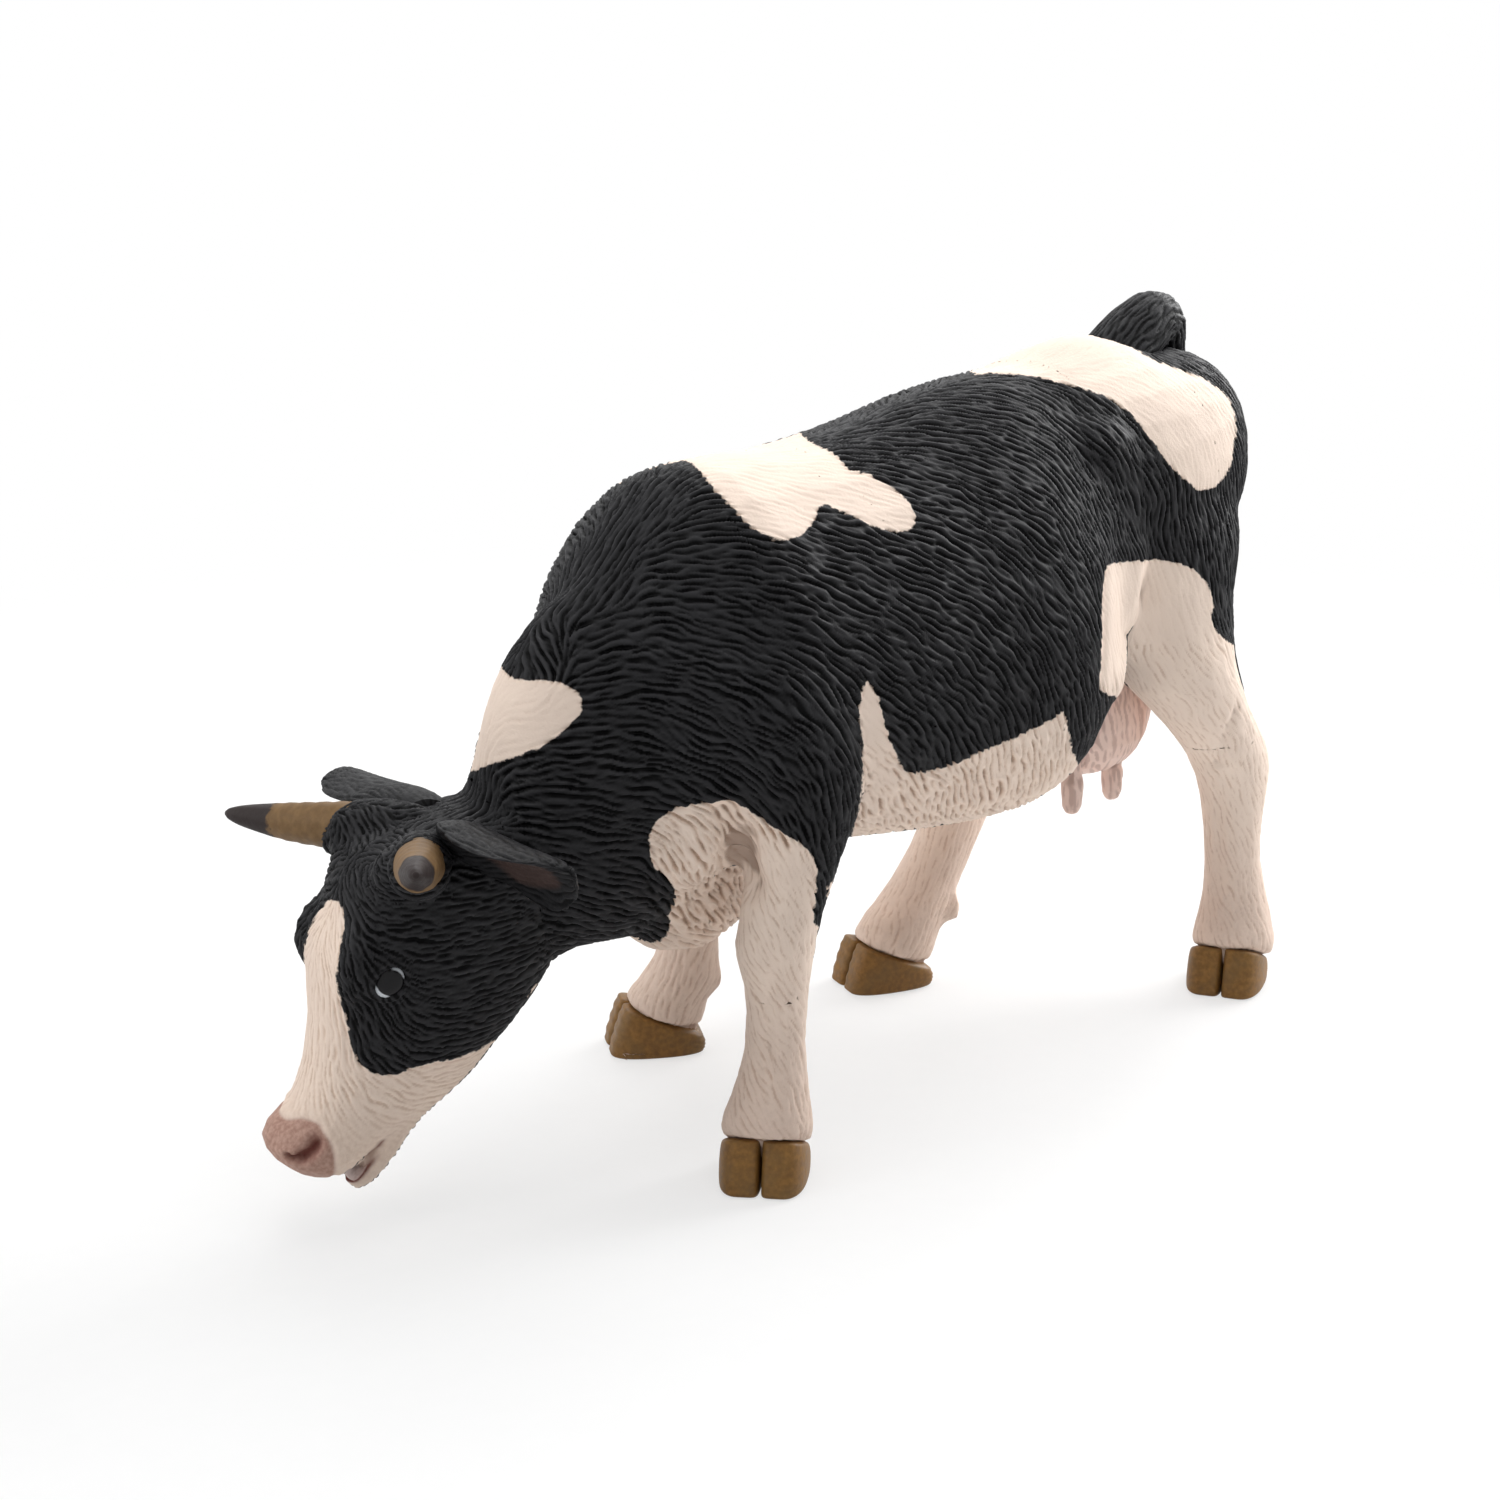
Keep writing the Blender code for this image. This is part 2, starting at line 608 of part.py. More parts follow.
def figure_skins():
    """Every form that runs into the body's one surface."""
    skins = [trunk_skin(), neck_skin(), *head_skins()]
    half_brisket = np.array((BRISKET_DEPTH, BRISKET_WIDTH, BRISKET_LENGTH)) / 2
    skins.append(ball(body_place(BRISKET_PLACE_SHARES), half_brisket, np.eye(3)[::-1]))
    for side in (1, -1):
        hook = body_place(HOOK_PLACE_SHARES) * (1, side, 1)
        pin = body_place(PIN_PLACE_SHARES) * (1, side, 1)
        skins.append(ball(hook, np.array(HOOK_SIZE_SHARES) * HOOK_WIDTH))
        skins.append(ball(pin, np.array(PIN_SIZE_SHARES) * PIN_WIDTH))
    for name, table in LEG_TABLES.items():
        turn = math.radians(HOOF_PLACES_SHARES[name][2])
        skins.append(leg_skin(table))
        skins.extend(dewclaw_skins(table, turn))
    return skins


def leg_rows(table):
    """Where a leg's sections lie and their half sizes, from the top down."""
    return [np.array((*body_place(row[:3]), row[3] * CANNON_WIDTH, row[4] * CANNON_WIDTH)) for row in table]


def leg_row(table, height):
    """The leg's section at a height."""
    rows = np.array(leg_rows(table))[::-1]
    return np.array([np.interp(height, rows[:, 2], rows[:, column]) for column in range(5)])


def leg_space(name, inset):
    """The sleeve of space round a leg below its joint, shrunk by the inset."""
    table = LEG_TABLES[name]
    seam = HINDLEG_SEAM_HEIGHT if "hind" in name else FORELEG_SEAM_HEIGHT
    top = leg_row(table, seam - inset)
    rows = [top] + [row for row in leg_rows(table) if row[2] < top[2] - SLEEVE_MARGIN]
    rows.append(rows[-1] - np.array((0, 0, 2 * HOOF_HEIGHT, 0, 0)))
    rings = []
    for row in rows:
        margin = SLEEVE_MARGIN - inset + SLEEVE_FLARE_SHARE * (top[2] - row[2])
        rings.append(oval(row[:3], (0, 1, 0), (1, 0, 0), row[4] + margin, row[3] + margin,
                          fullness=(6.0, 6.0)))
    return solid(name + "_space", [loft(rings)])


def split_leg(figure, torso, name):
    """Takes one leg off the torso and gives it its peg, hoof and flat sole."""
    table = LEG_TABLES[name]
    seam = HINDLEG_SEAM_HEIGHT if "hind" in name else FORELEG_SEAM_HEIGHT
    along, across, degrees = HOOF_PLACES_SHARES[name]
    leg = copy_of(figure, name, PAINTS["white_plastic"])
    combine(leg, leg_space(name, CLEARANCE), "INTERSECT")
    combine(torso, leg_space(name, 0.0), "DIFFERENCE")
    base = leg_row(table, seam - CLEARANCE)[:3]
    combine(leg, peg("peg", base, WORLD_UP, LEG_PEG_WIDTH, PEG_LENGTH), "UNION")
    socket = peg("socket", base, WORLD_UP, LEG_PEG_WIDTH + 2 * CLEARANCE, PEG_LENGTH + 2 * CLEARANCE)
    combine(torso, socket, "DIFFERENCE")
    foot = body_place((along, across, 0.0))
    combine(leg, hoof(foot, math.radians(degrees)), "UNION")
    reach = HOOF_LENGTH + HOOF_WIDTH
    floor = block("floor", foot - (reach, reach, HOOF_HEIGHT), foot + (reach, reach, 0.0))
    return combine(leg, floor, "DIFFERENCE")


def head_seam():
    """The middle of the joint behind the ears and the way that the head leaves it."""
    rows = [(body_place(row[:3]), body_place(row[3:6])) for row in NECK_SHARES[-3:]]
    middles = [(crest + throat) / 2 for crest, throat in rows]
    rise = unit(rows[1][0] - rows[1][1])
    run = middles[2] - middles[0]
    return middles[1], unit(run - np.dot(run, rise) * rise), rise


def head_space(inset):
    """The block of space in front of the head's joint."""
    middle, run, rise = head_seam()
    side = np.cross(rise, run)
    half = HEAD_SPACE_HALF_SHARE * HEAD_LENGTH
    corners = ((-1, -1), (1, -1), (1, 1), (-1, 1))
    rings = [np.array([middle + away * run + half * (x * side + y * rise) for x, y in corners])
             for away in (inset, HEAD_SPACE_DEPTH_SHARE * HEAD_LENGTH)]
    return solid("head_space", [loft(rings)])


def split_head(figure, torso):
    """Takes the head off the torso and opens its mouth."""
    head = copy_of(figure, "head", PAINTS["black_plastic"])
    combine(head, head_space(CLEARANCE), "INTERSECT")
    combine(torso, head_space(0.0), "DIFFERENCE")
    middle, run, _ = head_seam()
    base = middle + CLEARANCE * run
    combine(head, peg("peg", base, -run, NECK_PEG_WIDTH, PEG_LENGTH), "UNION")
    socket = peg("socket", base, -run, NECK_PEG_WIDTH + 2 * CLEARANCE, PEG_LENGTH + 2 * CLEARANCE)
    combine(torso, socket, "DIFFERENCE")
    return combine(head, mouth_wedge(), "DIFFERENCE")


def mouth_wedge():
    """The slot between the lips, widening to the front."""
    corner = head_place((*MOUTH_CORNER_SHARES, 0.0))
    front = head_place((*MOUTH_FRONT_SHARES, 0.0))
    across = unit(np.cross(front - corner, LEFT))
    shape = (corner - across * CLEARANCE / 2, front - across * MOUTH_GAP / 2,
             front + across * MOUTH_GAP / 2, corner + across * CLEARANCE / 2)
    rings = [np.array(shape) + side * HEAD_WIDTH * LEFT for side in (-1, 1)]
    return solid("mouth", [loft(rings)])


def horn(name, side, aim_shares):
    """A tapering, slightly curved horn with its root in the skull."""
    aim = unit(aim_shares[0] * FACE + aim_shares[1] * OUT + side * aim_shares[2] * LEFT)
    base = head_place(HORN_PLACE_SHARES, side)
    across = unit(np.cross(aim, FACE))
    rise = np.cross(across, aim)
    rings = []
    for along, wide, lift in smooth_rows(HORN_SHARES, TRIM_STEPS):
        centre = base + aim * along * HORN_LENGTH + rise * lift * HORN_WIDTH
        rings.append(oval(centre, across, rise, wide * HORN_WIDTH / 2, wide * HORN_WIDTH / 2,
                          count=TRIM_COUNT))
    return solid(name, [loft(rings)], PAINTS["horn_plastic"])


def ear(name, side, aim_shares, cup_shares):
    """A leaf-shaped ear with its hollow to the front or down, on a round root."""
    aim = unit(aim_shares[0] * FACE + aim_shares[1] * OUT + side * aim_shares[2] * LEFT)
    base = head_place(EAR_PLACE_SHARES, side)
    front = cup_shares[0] * OUT + cup_shares[1] * FACE
    front = unit(front - np.dot(front, aim) * aim)
    across = np.cross(aim, front)
    rings = []
    for along, wide, thick, cup in smooth_rows(EAR_SHARES, TRIM_STEPS):
        half_wide, half_thick = wide * EAR_WIDTH / 2, thick * EAR_THICKNESS / 2
        centre = base + aim * along * EAR_LENGTH
        ring = oval(centre, across, front, half_wide, half_thick, count=TRIM_COUNT + 2)
        spread = (ring - centre) @ across / half_wide
        rings.append(ring + np.outer(spread ** 2, front) * cup * EAR_WIDTH)
    return solid(name, [loft(rings)], PAINTS["black_plastic"])


def tail():
    """The tail, raised at its root and hanging behind the left thigh."""
    rows = smooth_rows(TAIL_SHARES, TRIM_STEPS)
    spots = np.array([body_place(row[:3]) for row in rows])
    runs = np.gradient(spots, axis=0)
    rings = []
    for spot, run, wide in zip(spots, runs, rows[:, 3]):
        rise = unit(np.cross(run, (0, 1, 0)))
        side = unit(np.cross(rise, run))
        rings.append(oval(spot, side, rise, wide * TAIL_WIDTH / 2, wide * TAIL_WIDTH / 2,
                          count=TRIM_COUNT))
    return blended("tail", [loft(rings)], TAIL_TRIANGLES, PAINTS["black_plastic"])


def udder():
    """The bag with its four teats."""
    place = body_place(UDDER_PLACE_SHARES)
    rings = [oval(place + WORLD_UP * up * UDDER_DEPTH, (0, 1, 0), (1, 0, 0), wide * UDDER_WIDTH,
                  long * UDDER_LENGTH, fullness=(2.2, 2.2), count=TRIM_COUNT + 6)
             for up, long, wide in smooth_rows(UDDER_SHARES, TRIM_STEPS)]
    bag = solid("udder", [loft(rings)], PAINTS["udder_plastic"])
    for along in TEAT_ALONG_SHARES:
        for across in TEAT_ACROSS_SHARES:
            spot = place + np.array((along * UDDER_LENGTH, across * UDDER_WIDTH,
                                     TEAT_ROOT_SHARE * UDDER_DEPTH))
            rings = [oval(spot + WORLD_UP * up * TEAT_LENGTH, (0, 1, 0), (1, 0, 0), wide * TEAT_WIDTH,
                          wide * TEAT_WIDTH, count=TRIM_COUNT - 4) for up, wide in TEAT_SHARES]
            combine(bag, solid("teat", [loft(rings)]), "UNION")
    return bag


def seat(figure, piece):
    """Cuts the piece's seat, larger by the clearance, out of the figure."""
    grown = solid(piece.name + "_seat", [])
    grown.data = piece.data.copy()
    swell = grown.modifiers.new("Clearance", "DISPLACE")
    swell.strength = SEAT_OFFSET_SHARE * CLEARANCE
    swell.mid_level = 0.0
    settle(grown)
    combine(figure, grown, "DIFFERENCE")


def build():
    """Makes the figure, divides it and stands it on the origin."""
    figure = blended("figure", figure_skins(), BODY_TRIANGLES)
    trimmings = [udder(), tail(),
                 horn("left_horn", 1, LEFT_HORN_AIM_SHARES), horn("right_horn", -1, RIGHT_HORN_AIM_SHARES),
                 ear("left_ear", 1, LEFT_EAR_AIM_SHARES, LEFT_EAR_CUP_SHARES),
                 ear("right_ear", -1, RIGHT_EAR_AIM_SHARES, RIGHT_EAR_CUP_SHARES)]
    for piece in trimmings:
        seat(figure, piece)
    torso = copy_of(figure, "torso", PAINTS["black_plastic"])
    legs = [split_leg(figure, torso, name) for name in LEG_TABLES]
    head = split_head(figure, torso)
    bpy.data.objects.remove(figure)
    stand([torso, head, *legs, *trimmings])


def stand(pieces):
    """Parents the pieces to one empty that brings their middle over the origin."""
    points = np.vstack([np.array([vertex.co for vertex in piece.data.vertices]) for piece in pieces])
    middle = (points.min(axis=0) + points.max(axis=0)) / 2
    frame = bpy.data.objects.new("cow", None)
    bpy.context.collection.objects.link(frame)
    frame.location = (-middle[0], -middle[1], 0.0)
    for piece in pieces:
        piece.parent = frame
        piece.data.shade_smooth()
        piece.data.set_sharp_from_angle(angle=math.radians(50))


PAINTS = {name: material(name, colour, roughness) for name, colour, roughness in (
    ("black_plastic", (0.013, 0.013, 0.014), 0.55),
    ("white_plastic", (0.80, 0.70, 0.62), 0.60),
    ("udder_plastic", (0.52, 0.36, 0.31), 0.55),
    ("horn_plastic", (0.30, 0.20, 0.09), 0.45),
)}
build()
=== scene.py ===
# %% [markdown]
# # A grazing cow figure of painted plastic
# The real figure is a few solid mouldings, glued together and painted by hand. This lesson
# dresses the plain mouldings: first the camera and the light, then one finely carved skin
# over the body, then the small parts with hard or shiny surfaces, and the paint.

# %% Load the mouldings
import math
import bpy
import numpy as np
from mathutils import Matrix


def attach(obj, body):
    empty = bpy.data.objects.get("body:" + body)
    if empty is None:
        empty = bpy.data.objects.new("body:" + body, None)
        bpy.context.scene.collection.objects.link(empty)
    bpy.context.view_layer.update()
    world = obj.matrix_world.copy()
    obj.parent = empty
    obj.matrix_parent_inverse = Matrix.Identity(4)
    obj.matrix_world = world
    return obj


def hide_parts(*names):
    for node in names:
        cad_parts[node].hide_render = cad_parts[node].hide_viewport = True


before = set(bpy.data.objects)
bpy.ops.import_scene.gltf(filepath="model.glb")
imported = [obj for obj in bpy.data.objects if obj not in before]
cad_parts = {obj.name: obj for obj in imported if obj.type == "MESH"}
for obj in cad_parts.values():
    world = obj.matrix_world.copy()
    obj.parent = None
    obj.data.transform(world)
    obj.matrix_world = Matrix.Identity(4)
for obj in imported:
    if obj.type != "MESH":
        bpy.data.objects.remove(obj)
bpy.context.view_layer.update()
MM = 0.001

# %% [markdown]
# ## Where the camera stands
# A long lens looks at the cow from its front left side, a little above it. The same numbers
# also tell on which pixel of a 1500 pixel picture a point of the cow lands. This helps later:
# a patch of paint can be given by the pixels of its edge.

# %% The camera and its picture
PICTURE_SIDE, SENSOR, LENS = 1500.0, 36.0, 72.0
CAMERA_SPOT = np.array((-251.53, -228.39, 138.83))
CAMERA_TURN, CAMERA_RISE = math.radians(-46.9), math.radians(16.2)
to_camera = np.array((math.sin(CAMERA_TURN) * math.cos(CAMERA_RISE),
                      -math.cos(CAMERA_TURN) * math.cos(CAMERA_RISE), math.sin(CAMERA_RISE)))
picture_right = np.array((math.cos(CAMERA_TURN), math.sin(CAMERA_TURN), 0.0))
picture_up = np.cross(to_camera, picture_right)


def on_picture(points):
    """Pixel and distance of points: the picture's axes, shrunk by the distance."""
    away = points - CAMERA_SPOT
    distance = -(away @ to_camera)
    focus = LENS / SENSOR * PICTURE_SIDE
    across = PICTURE_SIDE / 2 + focus * (away @ picture_right) / distance
    down = PICTURE_SIDE / 2 - focus * (away @ picture_up) / distance
    return across, down, distance


camera = bpy.data.objects.new("camera", bpy.data.cameras.new("camera"))
bpy.context.scene.collection.objects.link(camera)
camera.data.lens, camera.data.sensor_width = LENS, SENSOR
camera.data.clip_start, camera.data.clip_end = 0.01, 20.0
turned = np.eye(4)
turned[:3, 0], turned[:3, 1], turned[:3, 2], turned[:3, 3] = picture_right, picture_up, to_camera, CAMERA_SPOT * MM
camera.matrix_world = Matrix(turned.tolist())
bpy.context.scene.camera = camera
print("camera", np.round(CAMERA_SPOT).tolist(), "mm")

# %% [markdown]
# ## From a grid of points to a mesh
# Most small parts are tubes: rings of points, one after another. A grid of rows and columns
# is enough to know every face, so whole arrays make them without a loop. The ends get one
# middle point each, with a fan of triangles, so the tube is closed.

# %% Put arrays into a mesh
def put_mesh(name, points, faces, smooth=True):
    """A mesh object from points in mm and an array of faces with equal corner counts."""
    mesh = bpy.data.meshes.new(name)
    corners = [np.asarray(block) for block in faces]
    sizes = np.concatenate([np.full(len(block), block.shape[1]) for block in corners])
    mesh.vertices.add(len(points))
    mesh.vertices.foreach_set("co", (np.asarray(points) * MM).astype(np.float32).ravel())
    mesh.loops.add(int(sizes.sum()))
    mesh.loops.foreach_set("vertex_index", np.concatenate([block.ravel() for block in corners]).astype(np.int32))
    mesh.polygons.add(len(sizes))
    mesh.polygons.foreach_set("loop_start", np.concatenate(([0], np.cumsum(sizes)[:-1])).astype(np.int32))
    mesh.update(calc_edges=True)
    mesh.polygons.foreach_set("use_smooth", np.full(len(sizes), smooth))
    mesh.validate()
    piece = bpy.data.objects.new(name, mesh)
    bpy.context.scene.collection.objects.link(piece)
    return piece


def tube(rings):
    """Points and faces of a closed tube through rings: an array of rows, columns, xyz.
    The faces are turned round where the space inside would come out negative."""
    rows, columns = rings.shape[:2]
    index = np.arange(rows * columns).reshape(rows, columns)
    after = np.roll(index, -1, axis=1)
    sides = np.stack((index[:-1], after[:-1], after[1:], index[1:]), -1).reshape(-1, 4)
    ends = np.array((rings[0].mean(0), rings[-1].mean(0)))
    first, last = rows * columns, rows * columns + 1
    fans = np.vstack((np.stack((after[0], index[0], np.full(columns, first)), -1),
                      np.stack((index[-1], after[-1], np.full(columns, last)), -1)))
    points = np.vstack((rings.reshape(-1, 3), ends))
    a, b, c, d = (points[sides[:, k]] - ends[0] for k in range(4))
    if (np.cross(c - a, d - b) * (a + b + c + d)).sum() < 0:
        sides, fans = sides[:, ::-1], fans[:, ::-1]
    return points, [sides, fans]


def joined(parts):
    """Several closed forms as one: their points stacked and their faces counted on."""
    points, blocks, start = [], [], 0
    for part_points, part_faces in parts:
        points.append(part_points)
        blocks.extend(block + start for block in part_faces)
        start += len(part_points)
    return np.vstack(points), blocks


def unit(vectors):
    """Vectors at length one."""
    vectors = np.asarray(vectors, float)
    return vectors / np.maximum(np.linalg.norm(vectors, axis=-1, keepdims=True), 1e-9)


# %% [markdown]
# ## The head's own directions
# The head hangs down and is turned a little. Down the face, out of the forehead and to the
# cow's left are three directions in which eyes, nostrils and lips are easily placed, and
# what is made on the left is mirrored to the right.

# %% The head's frame
HEAD_TURN, HEAD_FALL = math.radians(20), math.radians(71)
POLL = np.array((-59.73, 4.37, 41.62))
down_face = np.array((-math.cos(HEAD_FALL) * math.cos(HEAD_TURN), math.cos(HEAD_FALL) * math.sin(HEAD_TURN),
                      -math.sin(HEAD_FALL)))
off_face = np.array((-math.sin(HEAD_FALL) * math.cos(HEAD_TURN), math.sin(HEAD_FALL) * math.sin(HEAD_TURN),
                     math.cos(HEAD_FALL)))
to_left = np.array((-math.sin(HEAD_TURN), -math.cos(HEAD_TURN), 0.0))
head_axes = np.array((down_face, off_face, to_left))


def head_point(down, off, left):
    """A place from its distances in the head's directions."""
    return POLL + np.array((down, off, left)) @ head_axes


def mirrored_head(points):
    """The same places with the cow's right cheek folded onto the left."""
    local = (points - POLL) @ head_axes.T
    local[:, 2] = np.abs(local[:, 2])
    return POLL + local @ head_axes


HORN_LENGTH, HORN_WIDTH = 19.5, 5.4
HORN_ROOT = (-0.385, -2.08, 6.62)
HORN_AIMS = {1: (-0.115, 0.425, 0.91), -1: (0.26, 0.56, 0.81)}
print("poll at", POLL.tolist(), "left horn's root at", np.round(head_point(*HORN_ROOT), 1).tolist())

# %% [markdown]
# ## The stock of the skin
# The animal is one blended form, so no single profile or grid describes it. The mouldings
# already have this form, in coarse facets. A sculptor would lay clay over them: here copies
# are swollen by the width of the glue line, turned into one fine even net by a voxel remesh,
# and smoothed until the facets are gone.

# %% Copy the mouldings and remesh them
import bmesh

SKIN_GRID = 0.25
SWELL = 0.2


def net_over(name, nodes, grid, added=()):
    """Points and quads of one even net over copies of the mouldings and over added forms."""
    stock = bmesh.new()
    for node in nodes:
        stock.from_mesh(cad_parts[node].data)
    for form in added:
        stock.from_mesh(form.data)
        bpy.data.objects.remove(form)
    bmesh.ops.remove_doubles(stock, verts=stock.verts, dist=MM * 0.002)
    mesh = bpy.data.meshes.new(name)
    stock.to_mesh(mesh)
    stock.free()
    form = bpy.data.objects.new(name, mesh)
    bpy.context.scene.collection.objects.link(form)
    swell = form.modifiers.new("glue line", "DISPLACE")
    swell.strength, swell.mid_level = SWELL * MM, 0.0
    remesh = form.modifiers.new("even net", "REMESH")
    remesh.mode, remesh.voxel_size = "VOXEL", grid * MM
    done = form.evaluated_get(bpy.context.evaluated_depsgraph_get()).to_mesh()
    points = np.empty(len(done.vertices) * 3, np.float32)
    done.vertices.foreach_get("co", points)
    quads = np.empty(len(done.loops), np.int32)
    done.loops.foreach_get("vertex_index", quads)
    form.evaluated_get(bpy.context.evaluated_depsgraph_get()).to_mesh_clear()
    bpy.data.objects.remove(form)
    bpy.data.meshes.remove(mesh)
    return points.reshape(-1, 3).astype(float) / MM, quads.reshape(-1, 4).astype(np.int64)


def outer_shell(points, quads):
    """Keeps the largest connected shell: labels spread along edges until none changes."""
    label = np.arange(len(points))
    pairs = np.vstack((quads[:, (0, 1)], quads[:, (1, 2)], quads[:, (2, 3)], quads[:, (3, 0)]))
    while True:
        low = np.minimum(label[pairs[:, 0]], label[pairs[:, 1]])
        new = label.copy()
        np.minimum.at(new, label[pairs[:, 0]], low)
        np.minimum.at(new, label[pairs[:, 1]], low)
        new = new[new]
        if (new == label).all():
            break
        label = new
    biggest = np.bincount(label).argmax()
    keep = label == biggest
    number = np.cumsum(keep) - 1
    return points[keep], number[quads[keep[quads[:, 0]]]]


def collar(side):
    """Rings round the horn's line: the fur that climbs over its root."""
    aim = unit(np.array((HORN_AIMS[side][0], HORN_AIMS[side][1], side * HORN_AIMS[side][2])) @ head_axes)
    across = unit(np.cross(aim, down_face))
    turn = np.arange(24) * math.tau / 24
    along, radius = np.array(((-0.34, 2.2), (-0.16, 3.2), (0.00, 3.5), (0.12, 3.3), (0.21, 2.95), (0.24, 2.3))).T
    slant = (along[:, None] + 0.07 * np.sin(turn)) * HORN_LENGTH
    wide = radius[:, None] * (1 + 0.1 * np.sin(turn))
    rings = head_point(*HORN_ROOT[:2], side * HORN_ROOT[2]) + slant[..., None] * aim \
        + wide[..., None] * (np.cos(turn)[:, None] * across + np.sin(turn)[:, None] * np.cross(across, aim))
    return put_mesh("collar", *tube(rings))


BODY_NODES = ("torso", "head", "front_left_leg", "front_right_leg", "hind_left_leg", "hind_right_leg")
body_points, body_quads = outer_shell(*net_over("body_stock", BODY_NODES, SKIN_GRID, (collar(1), collar(-1))))
print("body net:", len(body_points), "points,", len(body_quads), "quads")

# %% [markdown]
# ## Smoothing without shrinking
# Moving every point to the middle of its neighbours smooths a net, and also shrinks it. A
# step back that is a little larger than the step forward undoes the shrinking and leaves
# only the facets out. Thin legs and lips get fewer strength than the wide barrel.

# %% Neighbours, normals and smoothing
class Net:
    """A quad net with its edges, so that sums over neighbours are sums over arrays."""

    def __init__(self, points, quads):
        self.points, self.quads = points, quads
        sides = np.sort(np.vstack((quads[:, (0, 1)], quads[:, (1, 2)], quads[:, (2, 3)], quads[:, (3, 0)])), 1)
        self.edges = np.unique(sides[:, 0] * len(points) + sides[:, 1])
        self.edges = np.stack((self.edges // len(points), self.edges % len(points)))
        self.degree = np.bincount(self.edges.ravel(), minlength=len(points))

    def around(self, values):
        """Mean of the values at each point's neighbours."""
        first, second = self.edges
        flat = values.reshape(len(values), -1)
        total = np.stack([np.bincount(first, column[second], len(flat)) + np.bincount(second, column[first], len(flat))
                          for column in flat.T], 1)
        return (total / self.degree[:, None]).reshape(values.shape)

    def smooth(self, values, passes, strength=0.6):
        """Plain smoothing of values, for soft masks."""
        for _ in range(passes):
            values = values + strength * (self.around(values) - values)
        return values

    def relax(self, passes, strength):
        """Forward and back steps towards the neighbours' middle, by each point's strength."""
        for step in range(2 * passes):
            share = (0.62, -0.64)[step % 2]
            self.points = self.points + share * strength[:, None] * (self.around(self.points) - self.points)

    def normals(self):
        """Outward directions: the cross product of each quad's diagonals, summed at its corners."""
        a, b, c, d = (self.points[self.quads[:, k]] for k in range(4))
        face = np.cross(c - a, d - b)
        total = np.stack([np.bincount(self.quads.ravel(), np.repeat(face[:, k], 4), len(self.points))
                          for k in range(3)], 1)
        return unit(total)


def nearest_node(points, names, cell=2.0):
    """Which moulding each point belongs to: by cells of space, each with the moulding nearest its middle."""
    corners, owner = [], []
    for number, name in enumerate(names):
        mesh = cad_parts[name].data
        place = np.empty(len(mesh.vertices) * 3, np.float32)
        mesh.vertices.foreach_get("co", place)
        corners.append(np.unique(np.round(place.reshape(-1, 3) / MM, 2), axis=0))
        owner.append(np.full(len(corners[-1]), number))
    corners, owner = np.vstack(corners), np.concatenate(owner)
    cells, back = np.unique(np.floor(points / cell).astype(int), axis=0, return_inverse=True)
    middles = (cells + 0.5) * cell
    found = np.empty(len(middles), int)
    for start in range(0, len(middles), 1000):
        gap = ((middles[start:start + 1000, None] - corners[None]) ** 2).sum(-1)
        found[start:start + 1000] = owner[gap.argmin(1)]
    return found[back.ravel()]


body = Net(body_points, body_quads)
member = nearest_node(body.points, BODY_NODES)
on_head = body.smooth((member == 1).astype(float), 12)
on_leg = body.smooth((member > 1).astype(float), 12)
shrink_guard = np.clip(1.0 - 0.62 * on_head - 0.55 * on_leg, 0.3, 1.0)
SMOOTH_PASSES = round(26 * (0.3 / SKIN_GRID) ** 2)
body.relax(SMOOTH_PASSES, shrink_guard)
body_out = body.normals()
body.points -= SWELL * body_out
print("smoothed in", SMOOTH_PASSES, "passes; points by moulding:", np.bincount(member).tolist())

# %% [markdown]
# ## The middle of the body
# The trunk is the same left and right of an upright plane, and the neck bends away from it
# to the cow's right. So the middle is a line seen from above, and what is made on the left
# flank can be folded over it to the right.

# %% Fold the far flank over the near one
BACK_Y = -5.125
MIDDLE_X, MIDDLE_Y = (-51.3, -48.8, -46.5, -42.7, -36.9, -30.1), (3.8, 2.4, 0.33, -2.4, -4.47, BACK_Y)
off_middle = body.points[:, 1] - np.interp(body.points[:, 0], MIDDLE_X, MIDDLE_Y)
flank_folded = body.points - np.maximum(2 * off_middle, 0.0)[:, None] * (0.0, 1.0, 0.0)
print("points on the far flank:", int((off_middle > 0).sum()))


def seen_spot(net, across, down):
    """The net's point on a pixel of the picture: of those within 3 pixels the nearest to the camera."""
    x, y, distance = on_picture(net.points)
    miss = np.maximum(np.hypot(x - across, y - down) - 3.0, 0.0)
    return int(np.argmin(miss * 20 + distance))


# %% [markdown]
# ## Which way the fur is combed
# Fur lies along the body, turns down the shoulder and runs down the legs. A few dozen
# places on the picture carry an angle, read like the hand of a clock from pointing right.
# Every point of the skin takes the mean of the angles near it, and the other flank mirrors
# them.

